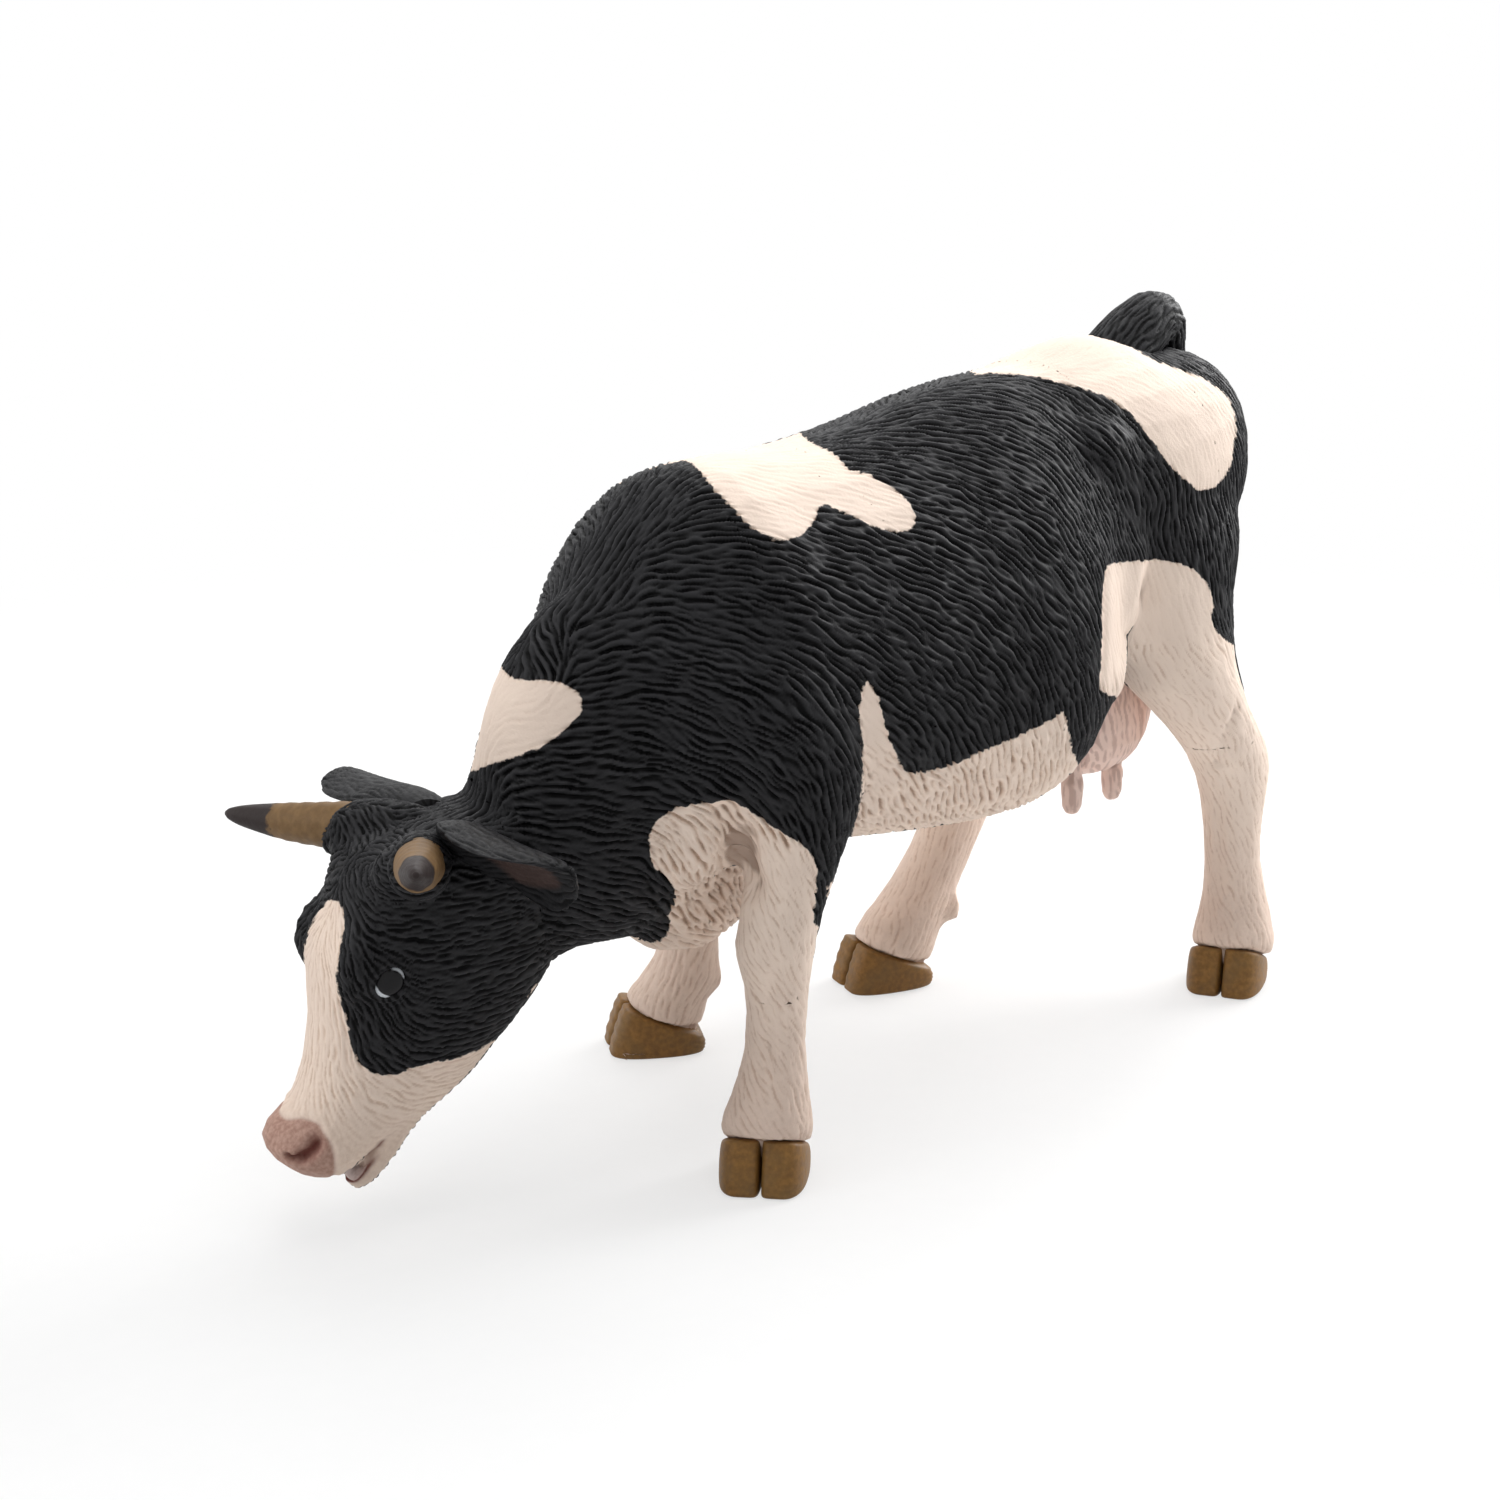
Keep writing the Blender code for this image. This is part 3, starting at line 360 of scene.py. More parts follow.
# %% Comb the skin
COMB = (
    (500, 640, 38), (520, 720, 15), (460, 800, 18), (500, 850, -5), (560, 900, -25), (600, 560, 20),
    (645, 500, 26), (600, 650, 8), (600, 750, 0), (600, 850, -8), (650, 800, -10), (700, 550, 0),
    (700, 650, -14), (700, 750, -24), (780, 600, -18), (780, 700, -30), (780, 780, -35), (825, 700, -50),
    (835, 800, -78), (740, 480, -10), (850, 620, -22), (900, 480, -12), (950, 600, -22), (900, 680, -35),
    (990, 680, -45),
    (1000, 500, -25), (1045, 600, -48), (1090, 520, -62), (1000, 420, -12), (1080, 430, -38),
    (872, 740, -45), (900, 790, -60), (960, 790, -75), (1000, 750, -76), (1050, 733, -76),
    (1150, 430, -48), (1190, 520, -78), (1060, 350, 10), (1150, 360, -25),
    (1160, 600, -66), (1195, 700, -46), (1228, 800, -62), (1235, 900, -64), (780, 860, -62),
    (775, 950, -58), (790, 1020, -50),
    (770, 1090, -56), (910, 880, -112), (890, 930, -105), (690, 960, -108), (700, 860, -70),
    (330, 950, -78), (310, 1060, -100), (360, 1110, -62), (400, 1090, -30), (450, 1050, 12), (450, 980, 8),
    (420, 920, 10), (350, 880, -60), (360, 840, -50), (500, 960, 15), (380, 1010, -60), (345, 1010, -80),
    (380, 1130, -20), (300, 1130, -80),
)


def comb_places(net, out):
    """The comb's places on the net and their directions in space. A direction on the
    picture is tilted along the line of sight until it lies in the skin."""
    across, down, angle = np.array(COMB, float).T
    spots = np.array([seen_spot(net, x, y) for x, y in zip(across, down)])
    flat = (np.cos(np.radians(angle))[:, None] * picture_right + np.sin(np.radians(angle))[:, None] * picture_up)
    facing = np.maximum(out[spots] @ to_camera, 0.25)
    lean = -(flat * out[spots]).sum(1) / facing
    return net.points[spots], unit(flat + lean[:, None] * to_camera)


comb_spots, comb_ways = comb_places(body, body_out)
on_face_comb = comb_spots[:, 0] < -45
mirror_spots, mirror_ways = comb_spots.copy(), comb_ways.copy()
local_spots = (comb_spots - POLL) @ head_axes.T * (1, 1, -1)
local_ways = comb_ways @ head_axes.T * (1, 1, -1)
mirror_spots[on_face_comb] = (POLL + local_spots @ head_axes)[on_face_comb]
mirror_ways[on_face_comb] = (local_ways @ head_axes)[on_face_comb]
mirror_spots[~on_face_comb, 1] = (2 * np.interp(comb_spots[:, 0], MIDDLE_X, MIDDLE_Y)
                                  - comb_spots[:, 1])[~on_face_comb]
mirror_ways[~on_face_comb, 1] *= -1
all_spots, all_ways = np.vstack((comb_spots, mirror_spots)), np.vstack((comb_ways, mirror_ways))


def combed(points, out):
    """Fur direction: the ways of the comb's places, weighted by closeness, laid in the skin."""
    total = np.zeros_like(points)
    for spot, way in zip(all_spots, all_ways):
        gap = ((points - spot) ** 2).sum(1)
        total += way / (gap + 9.0)[:, None] ** 2
    total -= (total * out).sum(1)[:, None] * out
    return unit(total)


body_comb = combed(body.points, body_out)
print("comb:", len(all_spots), "places")

# %% [markdown]
# ## Carved fur
# On the real figure the fur is cut into the master as short wavy ridges, about 1 mm apart,
# with a narrow groove between them. Such a ripple is a sum of wave packets: little bursts of
# waves that lie across the fur, strewn at random. Where two packets meet out of step, the
# ridges end or fork, as the real ones do.

# %% Wave packets and the relief of the fur
def hashed(cells, seed):
    """A number from 0 to 1 for each whole place: its bits are shuffled by multiplying and folding."""
    mix = (cells[:, 0] * 73856093) ^ (cells[:, 1] * 19349663) ^ (cells[:, 2] * 83492791) ^ (seed * 2654435761)
    mix = ((mix ^ (mix >> 15)) * 2246822519) & 0xFFFFFFFF
    mix = ((mix ^ (mix >> 13)) * 3266489917) & 0xFFFFFFFF
    return (mix ^ (mix >> 16)) / 2.0 ** 32


def cell_noise(points, seed):
    """Values between -1 and 1: hashed numbers at whole places, blended smoothly between them."""
    cell = np.floor(points).astype(np.int64)
    part = points - cell
    part = part * part * (3 - 2 * part)
    total = np.zeros(len(points))
    for corner in np.ndindex(2, 2, 2):
        weight = np.where(corner, part, 1 - part).prod(1)
        total += weight * (2 * hashed(cell + corner, seed) - 1)
    return total


def ripples(points, way, out, spacing, reach, seed, packets=4):
    """Sum over the packets near a point: window * cos(tau * distance across / spacing + phase),
    where the window falls from 1 at the packet's middle to 0 at its reach."""
    sway = np.stack([cell_noise(points / 3.2 + 40 * k, seed + k) for k in range(3)], 1)
    quick_sway = np.stack([cell_noise(points / 1.3 + 40 * k, seed + 5 + k) for k in range(3)], 1)
    places = points + 0.45 * sway + 0.13 * quick_sway
    side = np.cross(out, way).astype(np.float32)
    way, out = way.astype(np.float32), out.astype(np.float32)
    cells, back = np.unique(np.floor(places / reach).astype(np.int64), axis=0, return_inverse=True)
    back = back.ravel()
    spot = (places / reach - cells[back]).astype(np.float32)
    total = np.zeros(len(points), np.float32)
    turns = (math.tau * reach / np.broadcast_to(spacing, len(points))).astype(np.float32)
    for shift in np.ndindex(3, 3, 3):
        shift = np.array(shift) - 1
        for packet in range(packets):
            about = [hashed(cells + shift, seed + 31 * packet + 7 * k).astype(np.float32) for k in range(4)]
            middle = np.stack(about[:3], 1) + shift.astype(np.float32)
            gap = spot - middle[back]
            along, across, off = (gap * way).sum(1), (gap * side).sum(1), (gap * out).sum(1)
            window = np.maximum(1 - along ** 2 - 4.2 * across ** 2 - off ** 2, 0)
            total += window * window * np.cos(turns * across + (math.tau * about[3])[back])
    return (total / total.std()).astype(float)


def locks(waves):
    """Broad ridges with narrow grooves between them, 0 to 1."""
    share = np.clip((waves + 1.15) / 2.2, 0, 1)
    return 1 - (1 - share) ** 1.7


belly = np.clip((38 - body.points[:, 2]) / 8, 0, 1) * (1 - on_leg) * (1 - on_head)
fur_spacing = 0.86 - 0.14 * on_head - 0.12 * on_leg + 0.08 * cell_noise(body.points / 9.0, 5)
body_waves = ripples(body.points, body_comb, body_out, fur_spacing, 2.2, 11)
short_waves = ripples(body.points, body_comb, body_out, fur_spacing, 1.5, 12, 3)
body_relief = locks(body_waves + (short_waves - body_waves) * np.clip(0.3 + belly + 0.5 * on_head + 0.3 * on_leg, 0, 1))
print("relief from", round(float(body_relief.min()), 2), "to", round(float(body_relief.max()), 2))

# %% [markdown]
# ## Shapes drawn on the picture
# The edge of a painted patch is a closed line on the picture. Its distance, positive inside,
# is one number per point of the skin, and paint follows from it later. The same distance
# to an open line in space carves creases.

# %% Distances to drawn lines
def rounded(corners, steps=5, closed=True):
    """More corners on a smooth curve through all of them (Catmull-Rom)."""
    corners = np.asarray(corners, float)
    if closed:
        before, after, late = np.roll(corners, 1, 0), np.roll(corners, -1, 0), np.roll(corners, -2, 0)
        start = corners
    else:
        padded = np.vstack((2 * corners[0] - corners[1], corners, 2 * corners[-1] - corners[-2]))
        before, start, after, late = padded[:-3], padded[1:-2], padded[2:-1], padded[3:]
    t = (np.arange(steps) / steps)[None, :, None]
    b, s, a, l = (block[:, None] for block in (before, start, after, late))
    curve = 0.5 * (2 * s + (a - b) * t + (2 * b - 5 * s + 4 * a - l) * t ** 2 + (3 * s - b - 3 * a + l) * t ** 3)
    curve = curve.reshape(-1, corners.shape[1])
    return curve if closed else np.vstack((curve, corners[-1]))


def inside_by(x, y, corners):
    """Signed distance to a closed line, positive inside: nearest side, with the crossing
    count of a ray for the sign."""
    ring = rounded(corners)
    best = np.full(len(x), 1e9)
    within = np.zeros(len(x), bool)
    for (ax, ay), (bx, by) in zip(ring, np.roll(ring, -1, 0)):
        share = ((x - ax) * (bx - ax) + (y - ay) * (by - ay)) / max((bx - ax) ** 2 + (by - ay) ** 2, 1e-9)
        share = np.clip(share, 0, 1)
        best = np.minimum(best, np.hypot(x - ax - share * (bx - ax), y - ay - share * (by - ay)))
        crosses = (ay > y) != (by > y)
        within ^= crosses & (x < (bx - ax) * (y - ay) / (by - ay if by != ay else 1e-9) + ax)
    return np.where(within, best, -best)


def line_gap(points, line):
    """Distance in space to an open line of places."""
    best = np.full(len(points), 1e9)
    for a, b in zip(line[:-1], line[1:]):
        run = b - a
        share = np.clip(((points - a) @ run) / max(run @ run, 1e-9), 0, 1)
        best = np.minimum(best, np.linalg.norm(points - a - share[:, None] * run, axis=1))
    return best


def seen_line(net, pixels):
    """A smooth line in space through the net's points on these pixels."""
    return rounded([net.points[seen_spot(net, *pixel)] for pixel in pixels], 4, closed=False)


# %% [markdown]
# ## Carving the face and the folds
# Eyelids, nostrils and folds are too fine for the mouldings. Each is a bell curve of the
# distance to its line, added along the skin's outward direction. All are placed on the left
# side and folded over to the right.

# %% Eyes, nostrils and folds
head_folded = mirrored_head(body.points)
HOOVES = {"front_left_hoof": (-25.46, -19.23, -36), "front_right_hoof": (-5.75, 16.59, 36),
          "hind_left_hoof": (60.78, -21.86, -24), "hind_right_hoof": (30.54, 10.76, 24)}
CORONET_HEIGHT, CORONET_TILT = 4.5, 0.40


def over_coronet(points):
    """Height over the line where fur meets hoof: the line climbs towards the toe."""
    ahead = np.zeros(len(points))
    for x, y, degrees in HOOVES.values():
        run = points[:, :2] - (x, y)
        near = np.hypot(*run.T) < 10
        ahead[near] = (run @ (-math.cos(math.radians(degrees)), math.sin(math.radians(degrees))))[near]
    return points[:, 2] - CORONET_HEIGHT - CORONET_TILT * np.clip(ahead - 0.4, -5, 5)


def bell(gap, width):
    """1 on the line, falling off smoothly within the width."""
    return np.exp(-(gap / width) ** 2)


def ease(value, low, high):
    """0 below low, 1 above high, smooth between."""
    share = np.clip((value - low) / (high - low), 0, 1)
    return share * share * (3 - 2 * share)


eye_index = seen_spot(body, 393, 986)
EYE_SPOT = body.points[eye_index]
eye_out = unit(0.5 * body_out[eye_index] + 0.5 * to_left)
eye_long = body.points[seen_spot(body, 405, 975)] - body.points[seen_spot(body, 382, 998)]
eye_long = unit(eye_long - (eye_long @ eye_out) * eye_out)
eye_tall = np.cross(eye_out, eye_long)
EYE_HALF_LONG, EYE_HALF_TALL = 1.75, 1.25
from_eye = head_folded - EYE_SPOT
eye_ring = np.hypot(from_eye @ eye_long / EYE_HALF_LONG, from_eye @ eye_tall / EYE_HALF_TALL)
eye_ring = np.where(np.abs(from_eye @ eye_out) < 4, eye_ring, 9.0)
nostril_line = seen_line(body, ((302, 1163), (311, 1157), (316, 1149), (317, 1143)))
nostril_tail = seen_line(body, ((287, 1160), (293, 1164), (302, 1163)))
nostril_gap = np.minimum(line_gap(head_folded, nostril_line), line_gap(head_folded, nostril_tail) * 1.9 + 0.1)
wing = np.linalg.norm(head_folded - body.points[seen_spot(body, 302, 1149)], axis=1)
coronet = over_coronet(body.points) - 1.2 - 0.5 * cell_noise(body.points / 1.9, 8)
carve = (0.30 * bell(eye_ring - 1.32, 0.22) - 1.1 * (1 - ease(eye_ring, 0.82, 1.1))
         - 0.2 * bell(eye_ring - 1.66, 0.12) + 0.1 * bell(eye_ring - 1.85, 0.14)
         - 0.18 * bell(eye_ring - 2.15, 0.16) + 0.1 * bell(eye_ring - 2.45, 0.2)
         - 0.95 * (1 - ease(nostril_gap, 0.25, 1.0)) + 0.14 * bell(nostril_gap - 1.4, 0.4) - 0.2 * bell(wing, 1.1)
         + 0.42 * np.exp(-np.where(coronet > 0, coronet / 2.4, coronet / 1.1) ** 2) * on_leg
         + 2.3 * ease(body.points[:, 0], 33, 47) * (1 - ease(body.points[:, 0], 49, 56)) * bell(off_middle, 6.5)
         * ease(body.points[:, 2], 70, 76))
FOLDS = (
    (((383, 999), (375, 1004), (371, 1014), (372, 1026)), 0.22, 0.4),
    (((665, 690), (650, 730), (640, 770), (630, 810), (640, 840)), 0.5, 3.5),
    (((728, 818), (733, 838), (741, 862), (748, 885)), 1.6, 2.0),
    (((1110, 575), (1108, 610), (1108, 650), (1104, 690)), 0.35, 0.9),
    (((1136, 562), (1131, 600), (1126, 640), (1118, 682)), -1.2, 2.6),
    (((566, 540), (574, 521), (588, 502)), 2.3, 4.4),
    (((594, 494), (614, 478)), 0.7, 3.0),
    (((604, 532), (622, 502), (645, 480), (668, 466)), 0.4, 0.7),
    (((1238, 712), (1228, 735), (1216, 765)), 0.35, 0.9),
    (((1219, 800), (1217, 840), (1219, 890)), 0.25, 0.8),
    (((777, 960), (774, 1000), (772, 1050)), 0.2, 0.9),
)
for pixels, depth, width in FOLDS:
    fold_line = seen_line(body, pixels)
    near = flank_folded if fold_line[:, 0].mean() > -45 else head_folded
    carve -= depth * bell(line_gap(near, fold_line), width)
fur_strength = (0.51 - 0.17 * ease(body.points[:, 0], 0, 40) - 0.15 * on_head - 0.1 * on_leg) * ease(eye_ring, 1.5, 2.6)
print("eye at", np.round(EYE_SPOT, 1).tolist(), "nostril at", np.round(nostril_line.mean(0), 1).tolist())

# %% [markdown]
# ## Where the paint goes
# The figure is black with cream patches. The seen patches are drawn on the picture, and only
# points that face the camera take them. The far flank takes them as in a mirror, and has
# ovals of its own. Legs and belly are cream below a height.

# %% Cream patches
SADDLE = ((660, 452), (668, 463), (690, 463), (715, 490), (735, 510), (755, 530), (780, 540), (800, 535), (815, 520),
          (819, 507), (835, 508), (860, 520), (885, 530), (905, 531), (915, 524), (910, 505), (895, 490), (870, 475),
          (850, 470), (835, 455), (820, 447), (802, 436), (790, 415), (700, 430))
NECK_PATCH = ((512, 678), (535, 680), (560, 683), (576, 692), (582, 703), (578, 716), (565, 730), (545, 745),
              (520, 755), (490, 765), (462, 775), (446, 779), (420, 775), (450, 690), (490, 660))
RUMP_PATCH = ((972, 373), (1000, 374), (1030, 376), (1060, 383), (1095, 393), (1120, 405), (1140, 425), (1155, 445),
              (1170, 465), (1185, 480), (1200, 490), (1215, 486), (1228, 470), (1235, 440), (1234, 415), (1225, 395),
              (1205, 380), (1180, 370), (1150, 362), (1130, 355), (1115, 343), (1104, 332), (1085, 318), (1030, 335),
              (968, 358))
THIGH = ((1106, 575), (1120, 563), (1150, 560), (1180, 564), (1200, 575), (1210, 590), (1213, 606), (1212, 622),
         (1226, 641), (1250, 655), (1300, 720), (1300, 960), (1150, 970), (1150, 780), (1130, 715),
         (1118, 696), (1102, 684))
BELLY = ((868, 682), (879, 700), (885, 725), (894, 750), (904, 769), (916, 773), (950, 765), (985, 750), (1020, 735),
         (1050, 720), (1062, 712), (1067, 722), (1071, 748), (1079, 768), (1085, 800), (1060, 850),
         (1000, 870), (836, 900), (846, 858), (854, 825), (861, 790), (862, 745), (859, 715), (861, 697))
CHEST = ((650, 845), (654, 866), (669, 880), (676, 897), (669, 915), (668, 932), (640, 960), (590, 1010), (590, 1070),
         (720, 1075), (715, 1210), (850, 1210), (850, 1000), (840, 942), (818, 926), (814, 918), (815, 899), (817, 880),
         (816, 863), (806, 848), (789, 836), (765, 822), (740, 807), (710, 804), (680, 807), (660, 820), (651, 835))
FACE = ((328, 902), (338, 901), (343, 912), (344, 929), (341, 947), (337, 970), (338, 990), (342, 1006), (348, 1023),
        (351, 1043), (358, 1061), (371, 1072), (384, 1075), (398, 1074), (414, 1067), (440, 1061), (460, 1057),
        (483, 1047), (498, 1037), (513, 1025), (524, 1008), (532, 990), (539, 981), (553, 971), (580, 975),
        (560, 1015), (480, 1110), (420, 1210), (300, 1225), (230, 1190), (235, 1100), (280, 1020), (299, 985),
        (303, 974), (305, 947), (311, 925), (320, 911))
NOSE_PAD = ((268, 1100), (276, 1109), (286, 1119), (301, 1118), (317, 1123), (323, 1131), (331, 1143), (336, 1160),
            (337, 1178), (330, 1200), (240, 1205), (230, 1110))
body_depth = on_picture(body.points)[2]
facing = body_out @ to_camera
ONE_MM = LENS / SENSOR * PICTURE_SIDE


def patch(outline, points, out, keep):
    """A drawn patch on points that face the camera, in mm inside its edge."""
    x, y, depth = on_picture(points)
    (left, top), (right, bottom) = np.min(outline, 0) - 40, np.max(outline, 0) + 40
    asked = keep & (out @ to_camera > 0.02) & (x > left) & (x < right) & (y > top) & (y < bottom)
    result = np.full(len(points), -9.0)
    result[asked] = inside_by(x[asked], y[asked], outline) * depth[asked] / ONE_MM
    return result


def oval_patch(points, middle, half, lean=0.0):
    """An oval seen from the side, in mm inside its edge, with a wavy edge."""
    dx, dz = points[:, 0] - middle[0], points[:, 2] - middle[1]
    along, up = dx * math.cos(lean) + dz * math.sin(lean), dz * math.cos(lean) - dx * math.sin(lean)
    wave = 0.3 * cell_noise(points / 9.0, 70)
    return (1 - np.hypot(along / half[0], up / half[1]) + wave) * min(half)


flank_out = body_out * np.where(off_middle[:, None] > 0, (1, -1, 1), (1, 1, 1))
head_side = np.where((body.points - POLL) @ to_left < 0, -1.0, 1.0)
head_out = np.stack((body_out @ down_face, body_out @ off_face, body_out @ to_left * head_side), 1) @ head_axes
is_head, is_torso = on_head > 0.5, on_head <= 0.5
behind_shoulder = body.points[:, 0] > 22
x_place, height = body.points[:, 0], body.points[:, 2]
cream = np.full(len(body.points), -9.0)
far, turned_away = off_middle > 0, 1 - ease(facing, 0.02, 0.12)
near_top = is_torso & (off_middle < 8)
for outline, seen, mirrored in ((SADDLE, near_top, is_torso), (NECK_PATCH, near_top, is_torso),
                                (RUMP_PATCH, near_top, is_torso), (BELLY, is_torso, is_torso),
                                (CHEST, x_place < 12, is_torso & (x_place < 5)),
                                (THIGH, behind_shoulder, behind_shoulder)):
    near_side = np.maximum(patch(outline, body.points, body_out, seen), -3.0)
    far_side = np.maximum(patch(outline, flank_folded, flank_out, far & mirrored), -3.0)
    cream = np.maximum(cream, near_side + (far_side - near_side) * turned_away * far)
near_side = np.maximum(patch(FACE, body.points, body_out, is_head), -3.0)
far_side = np.maximum(patch(FACE, head_folded, head_out, is_head), -3.0)
cream = np.maximum(cream, near_side + (far_side - near_side) * turned_away)
low_edge = np.interp(x_place, (-60, -40, -34, -10, 0, 20, 32, 38, 44, 80), (-9, -9, 26, 30, 34, 33, 35.5, 40, 44, 46))
far_edge = np.interp(x_place, (-34, -20, 0, 20, 40, 80), (26, 38, 38, 38, 44, 46))
low_edge = np.where(far, np.maximum(low_edge, far_edge), np.where(x_place > 10, low_edge, np.minimum(low_edge, 26)))
inward = (body_out[:, 1] * np.sign(off_middle) < 0.15) & (body_out[:, 0] < 0.6)
between_legs = (np.abs(off_middle) < 20) & inward & (x_place < 4) & (x_place > -42)
low_edge = np.where(between_legs, np.maximum(low_edge, 39), low_edge)
low_edge = low_edge + 2.4 * cell_noise(body.points / 7.0, 71) * (1 - ease(facing, -0.25, 0.0))
low_edge = np.where(is_head, -9, low_edge)
cream = np.maximum(cream, low_edge - height)
for middle, half, lean in (((-4, 58), (9, 8), 0.3), ((53, 68), (12, 10), 0.4), ((24, 55), (13, 8), -0.2)):
    cream = np.maximum(cream, np.where(far & is_torso, oval_patch(body.points, middle, half, lean), -9.0))
nose_pad = inside_by(*on_picture(head_folded)[:2], NOSE_PAD) * body_depth / ONE_MM
nose_pad = np.where(is_head & (head_out @ to_camera > -0.2), nose_pad, -9.0)
mouth_corner, mouth_front = head_point(30.8, -8.58, 0), head_point(40.0, -6.63, 0)
lip_way = unit(mouth_front - mouth_corner)
lip_across = np.cross(lip_way, to_left)
from_corner = body.points - mouth_corner
in_mouth = bell((from_corner @ lip_across), 0.75) * ease(from_corner @ lip_way, -0.6, 0.2) * is_head \
    * ease(np.abs(body_out @ lip_across), 0.35, 0.7) * (np.abs((body.points - POLL) @ to_left) < 6.5)
past_corner, above_lips = from_corner @ lip_way, from_corner @ lip_across
jaw_share = np.clip(past_corner / 9.4, 0, 1.25) * (1 - ease(above_lips, -0.15, 0.15)) * is_head
muzzle_share = ease((body.points - POLL) @ down_face, 29, 38) * ease(above_lips, -0.15, 0.15) * is_head
mouth_shift = jaw_share[:, None] * (0.9 * down_face + 1.1 * off_face) \
    + muzzle_share[:, None] * (0.5 * off_face - 0.45 * down_face)
print("cream share of the skin:", round(float((cream > 0).mean()), 2))

# %% [markdown]
# ## Raise the fur, then read the hollows
# The fur and the folds now move the points. Comparing each point with a smoothed net tells
# which lie in a hollow. These places get darker paint later: partly paint washed in, partly painted shade.

# %% Move the points
pad = ease(nose_pad, -0.3, 0.3)
fur_strength = fur_strength * (1 - 0.97 * pad) * (1 - 0.8 * ease(in_mouth, 0.1, 0.5))
calm = 0.72 * ease(height, 42, 52) * (1 - on_leg) + 0.45 * on_head + 0.4 * on_leg \
    + 0.45 * on_head * ease((body.points - POLL) @ down_face, 25, 31)
calm = np.clip(calm, 0, 0.9) * ease(cream, -0.2, 0.4)
fur_strength = fur_strength * (1 - 0.8 * calm)
body_relief = body_relief + (0.95 - body_relief) * pad + (0.85 - 0.3 * on_head - body_relief) * calm * (1 - pad)
carve += 0.14 * bell(nose_pad + 0.5, 0.35) - 0.1 * bell(nose_pad - 0.1, 0.25)
hoof_inset = 0.9 * (1 - ease(over_coronet(body.points), -0.4, 0.6)) * on_leg
near_left_leg = (x_place > -42) & (x_place < -8) & (off_middle < -4)
leg_shift = np.where(near_left_leg, 0.45 + 0.4 * (1 - ease(height, 7, 15)), 0.0) * (1 - ease(height, 22, 34)) * on_leg \
    * ease(over_coronet(body.points), -2.0, 0.0)
flat_body = body.points
body.points = flat_body + (carve + fur_strength * (body_relief - 0.6) - hoof_inset)[:, None] * body_out \
    + mouth_shift - leg_shift[:, None] * picture_right
body.points[:, 2] = np.maximum(body.points[:, 2], 0.05)
skin_out = body.normals()
hollow = ((body.smooth(body.points, 16) - body.points) * skin_out).sum(1)
hollow = np.clip(body.smooth(hollow, 3) / 0.12, -1, 1)
print("hollows:", round(float((hollow > 0.5).mean()), 3), "of the skin")

# %% [markdown]
# ## Cutting the skin into pieces
# One piece holds at most 200,000 triangles, so the skin is cut at planes across the neck and
# the trunk, and above each fetlock. Every cut is closed with a flat wall inside the body,
# and both sides keep the normals of the whole skin, so no seam shows.

# %% Label the faces and cut
middles = body.points[body.quads].mean(1)
NECK_JOINT, neck_way = np.array((-44.6, 0.8, 36.2)), unit((-0.829, 0.431, -0.357))
CUTS = ("neck", "shoulders", "barrel", "loin", "flanks", "hindquarters", "head", "front_left_leg_skin",
        "front_right_leg_skin", "hind_left_leg_skin", "hind_right_leg_skin")
owner = np.searchsorted((-26.0, -7.0, 15.0, 36.0, 54.0), middles[:, 0])
owner = np.where((middles - NECK_JOINT) @ neck_way > 0, 6, owner)
LEG_BOXES = ((7, (-40, -10), (-36, -8), 22.0), (8, (-30, 6), (0, 28), 22.0), (9, (30, 80), (-36, -8), 34.0),
             (10, (12, 70), (-5, 28), 30.0))
for number, (x_low, x_high), (y_low, y_high), top in LEG_BOXES:
    held = (middles[:, 0] > x_low) & (middles[:, 0] < x_high) & (middles[:, 1] > y_low) & (middles[:, 1] < y_high)
    owner = np.where(held & (middles[:, 2] < top) & (owner != 6), number, owner)


def close_cuts(piece):
    """Fills each open loop with a flat wall, wound like its neighbours; tells how many walls it made."""
    skin = bmesh.new()
    skin.from_mesh(piece.data)
    walls = 0
    open_sides = [side for side in skin.edges if side.is_boundary]
    for _ in range(4):
        for wall in bmesh.ops.holes_fill(skin, edges=open_sides, sides=0)["faces"]:
            corner = wall.loops[0]
            if corner.link_loop_radial_next.vert == corner.vert:
                wall.normal_flip()
            walls += 1
        open_sides = [side for side in skin.edges if side.is_boundary]
        if not open_sides:
            break
    if open_sides:
        bmesh.ops.triangle_fill(skin, edges=open_sides)
        open_sides = [side for side in skin.edges if side.is_boundary]
    skin.to_mesh(piece.data)
    skin.free()
    return walls, len(open_sides)


def give(mesh, name, values):
    """A number per point as an attribute that materials read."""
    mesh.attributes.new(name, "FLOAT", "POINT").data.foreach_set("value", np.asarray(values, np.float32))


flesh = np.clip(pad + 0.25 * on_leg * (1 - ease(height, 8, 30)), 0, 1)
lip_line = bell(above_lips + 0.42, 0.36) * ease(past_corner, 0.8, 3.0) * is_head
blood = np.clip(0.95 * bell(nostril_gap, 0.78) + in_mouth + lip_line, 0, 1)
skin_pieces = {}
for number, name in enumerate(CUTS):
    mine = body.quads[owner == number]
    used = np.unique(mine)
    piece = put_mesh(name, body.points[used], [np.searchsorted(used, mine)])
    walls, still_open = close_cuts(piece)
    for field, values in (("cream", cream), ("relief", body_relief), ("hollow", hollow), ("flesh", flesh),
                          ("blood", blood)):
        give(piece.data, field, values[used])
    piece.data.normals_split_custom_set_from_vertices(skin_out[used].tolist())
    skin_pieces[name] = piece
    triangles = sum(face.loop_total - 2 for face in piece.data.polygons)
    print(name, "triangles", triangles, "walls", walls, "sides left open", still_open)

# %% [markdown]
# ## Tail and udder
# Both are mouldings of their own, plugged into the body, so each gets its own skin in the
# same way. The tail's fur follows its path, and the udder is almost smooth.

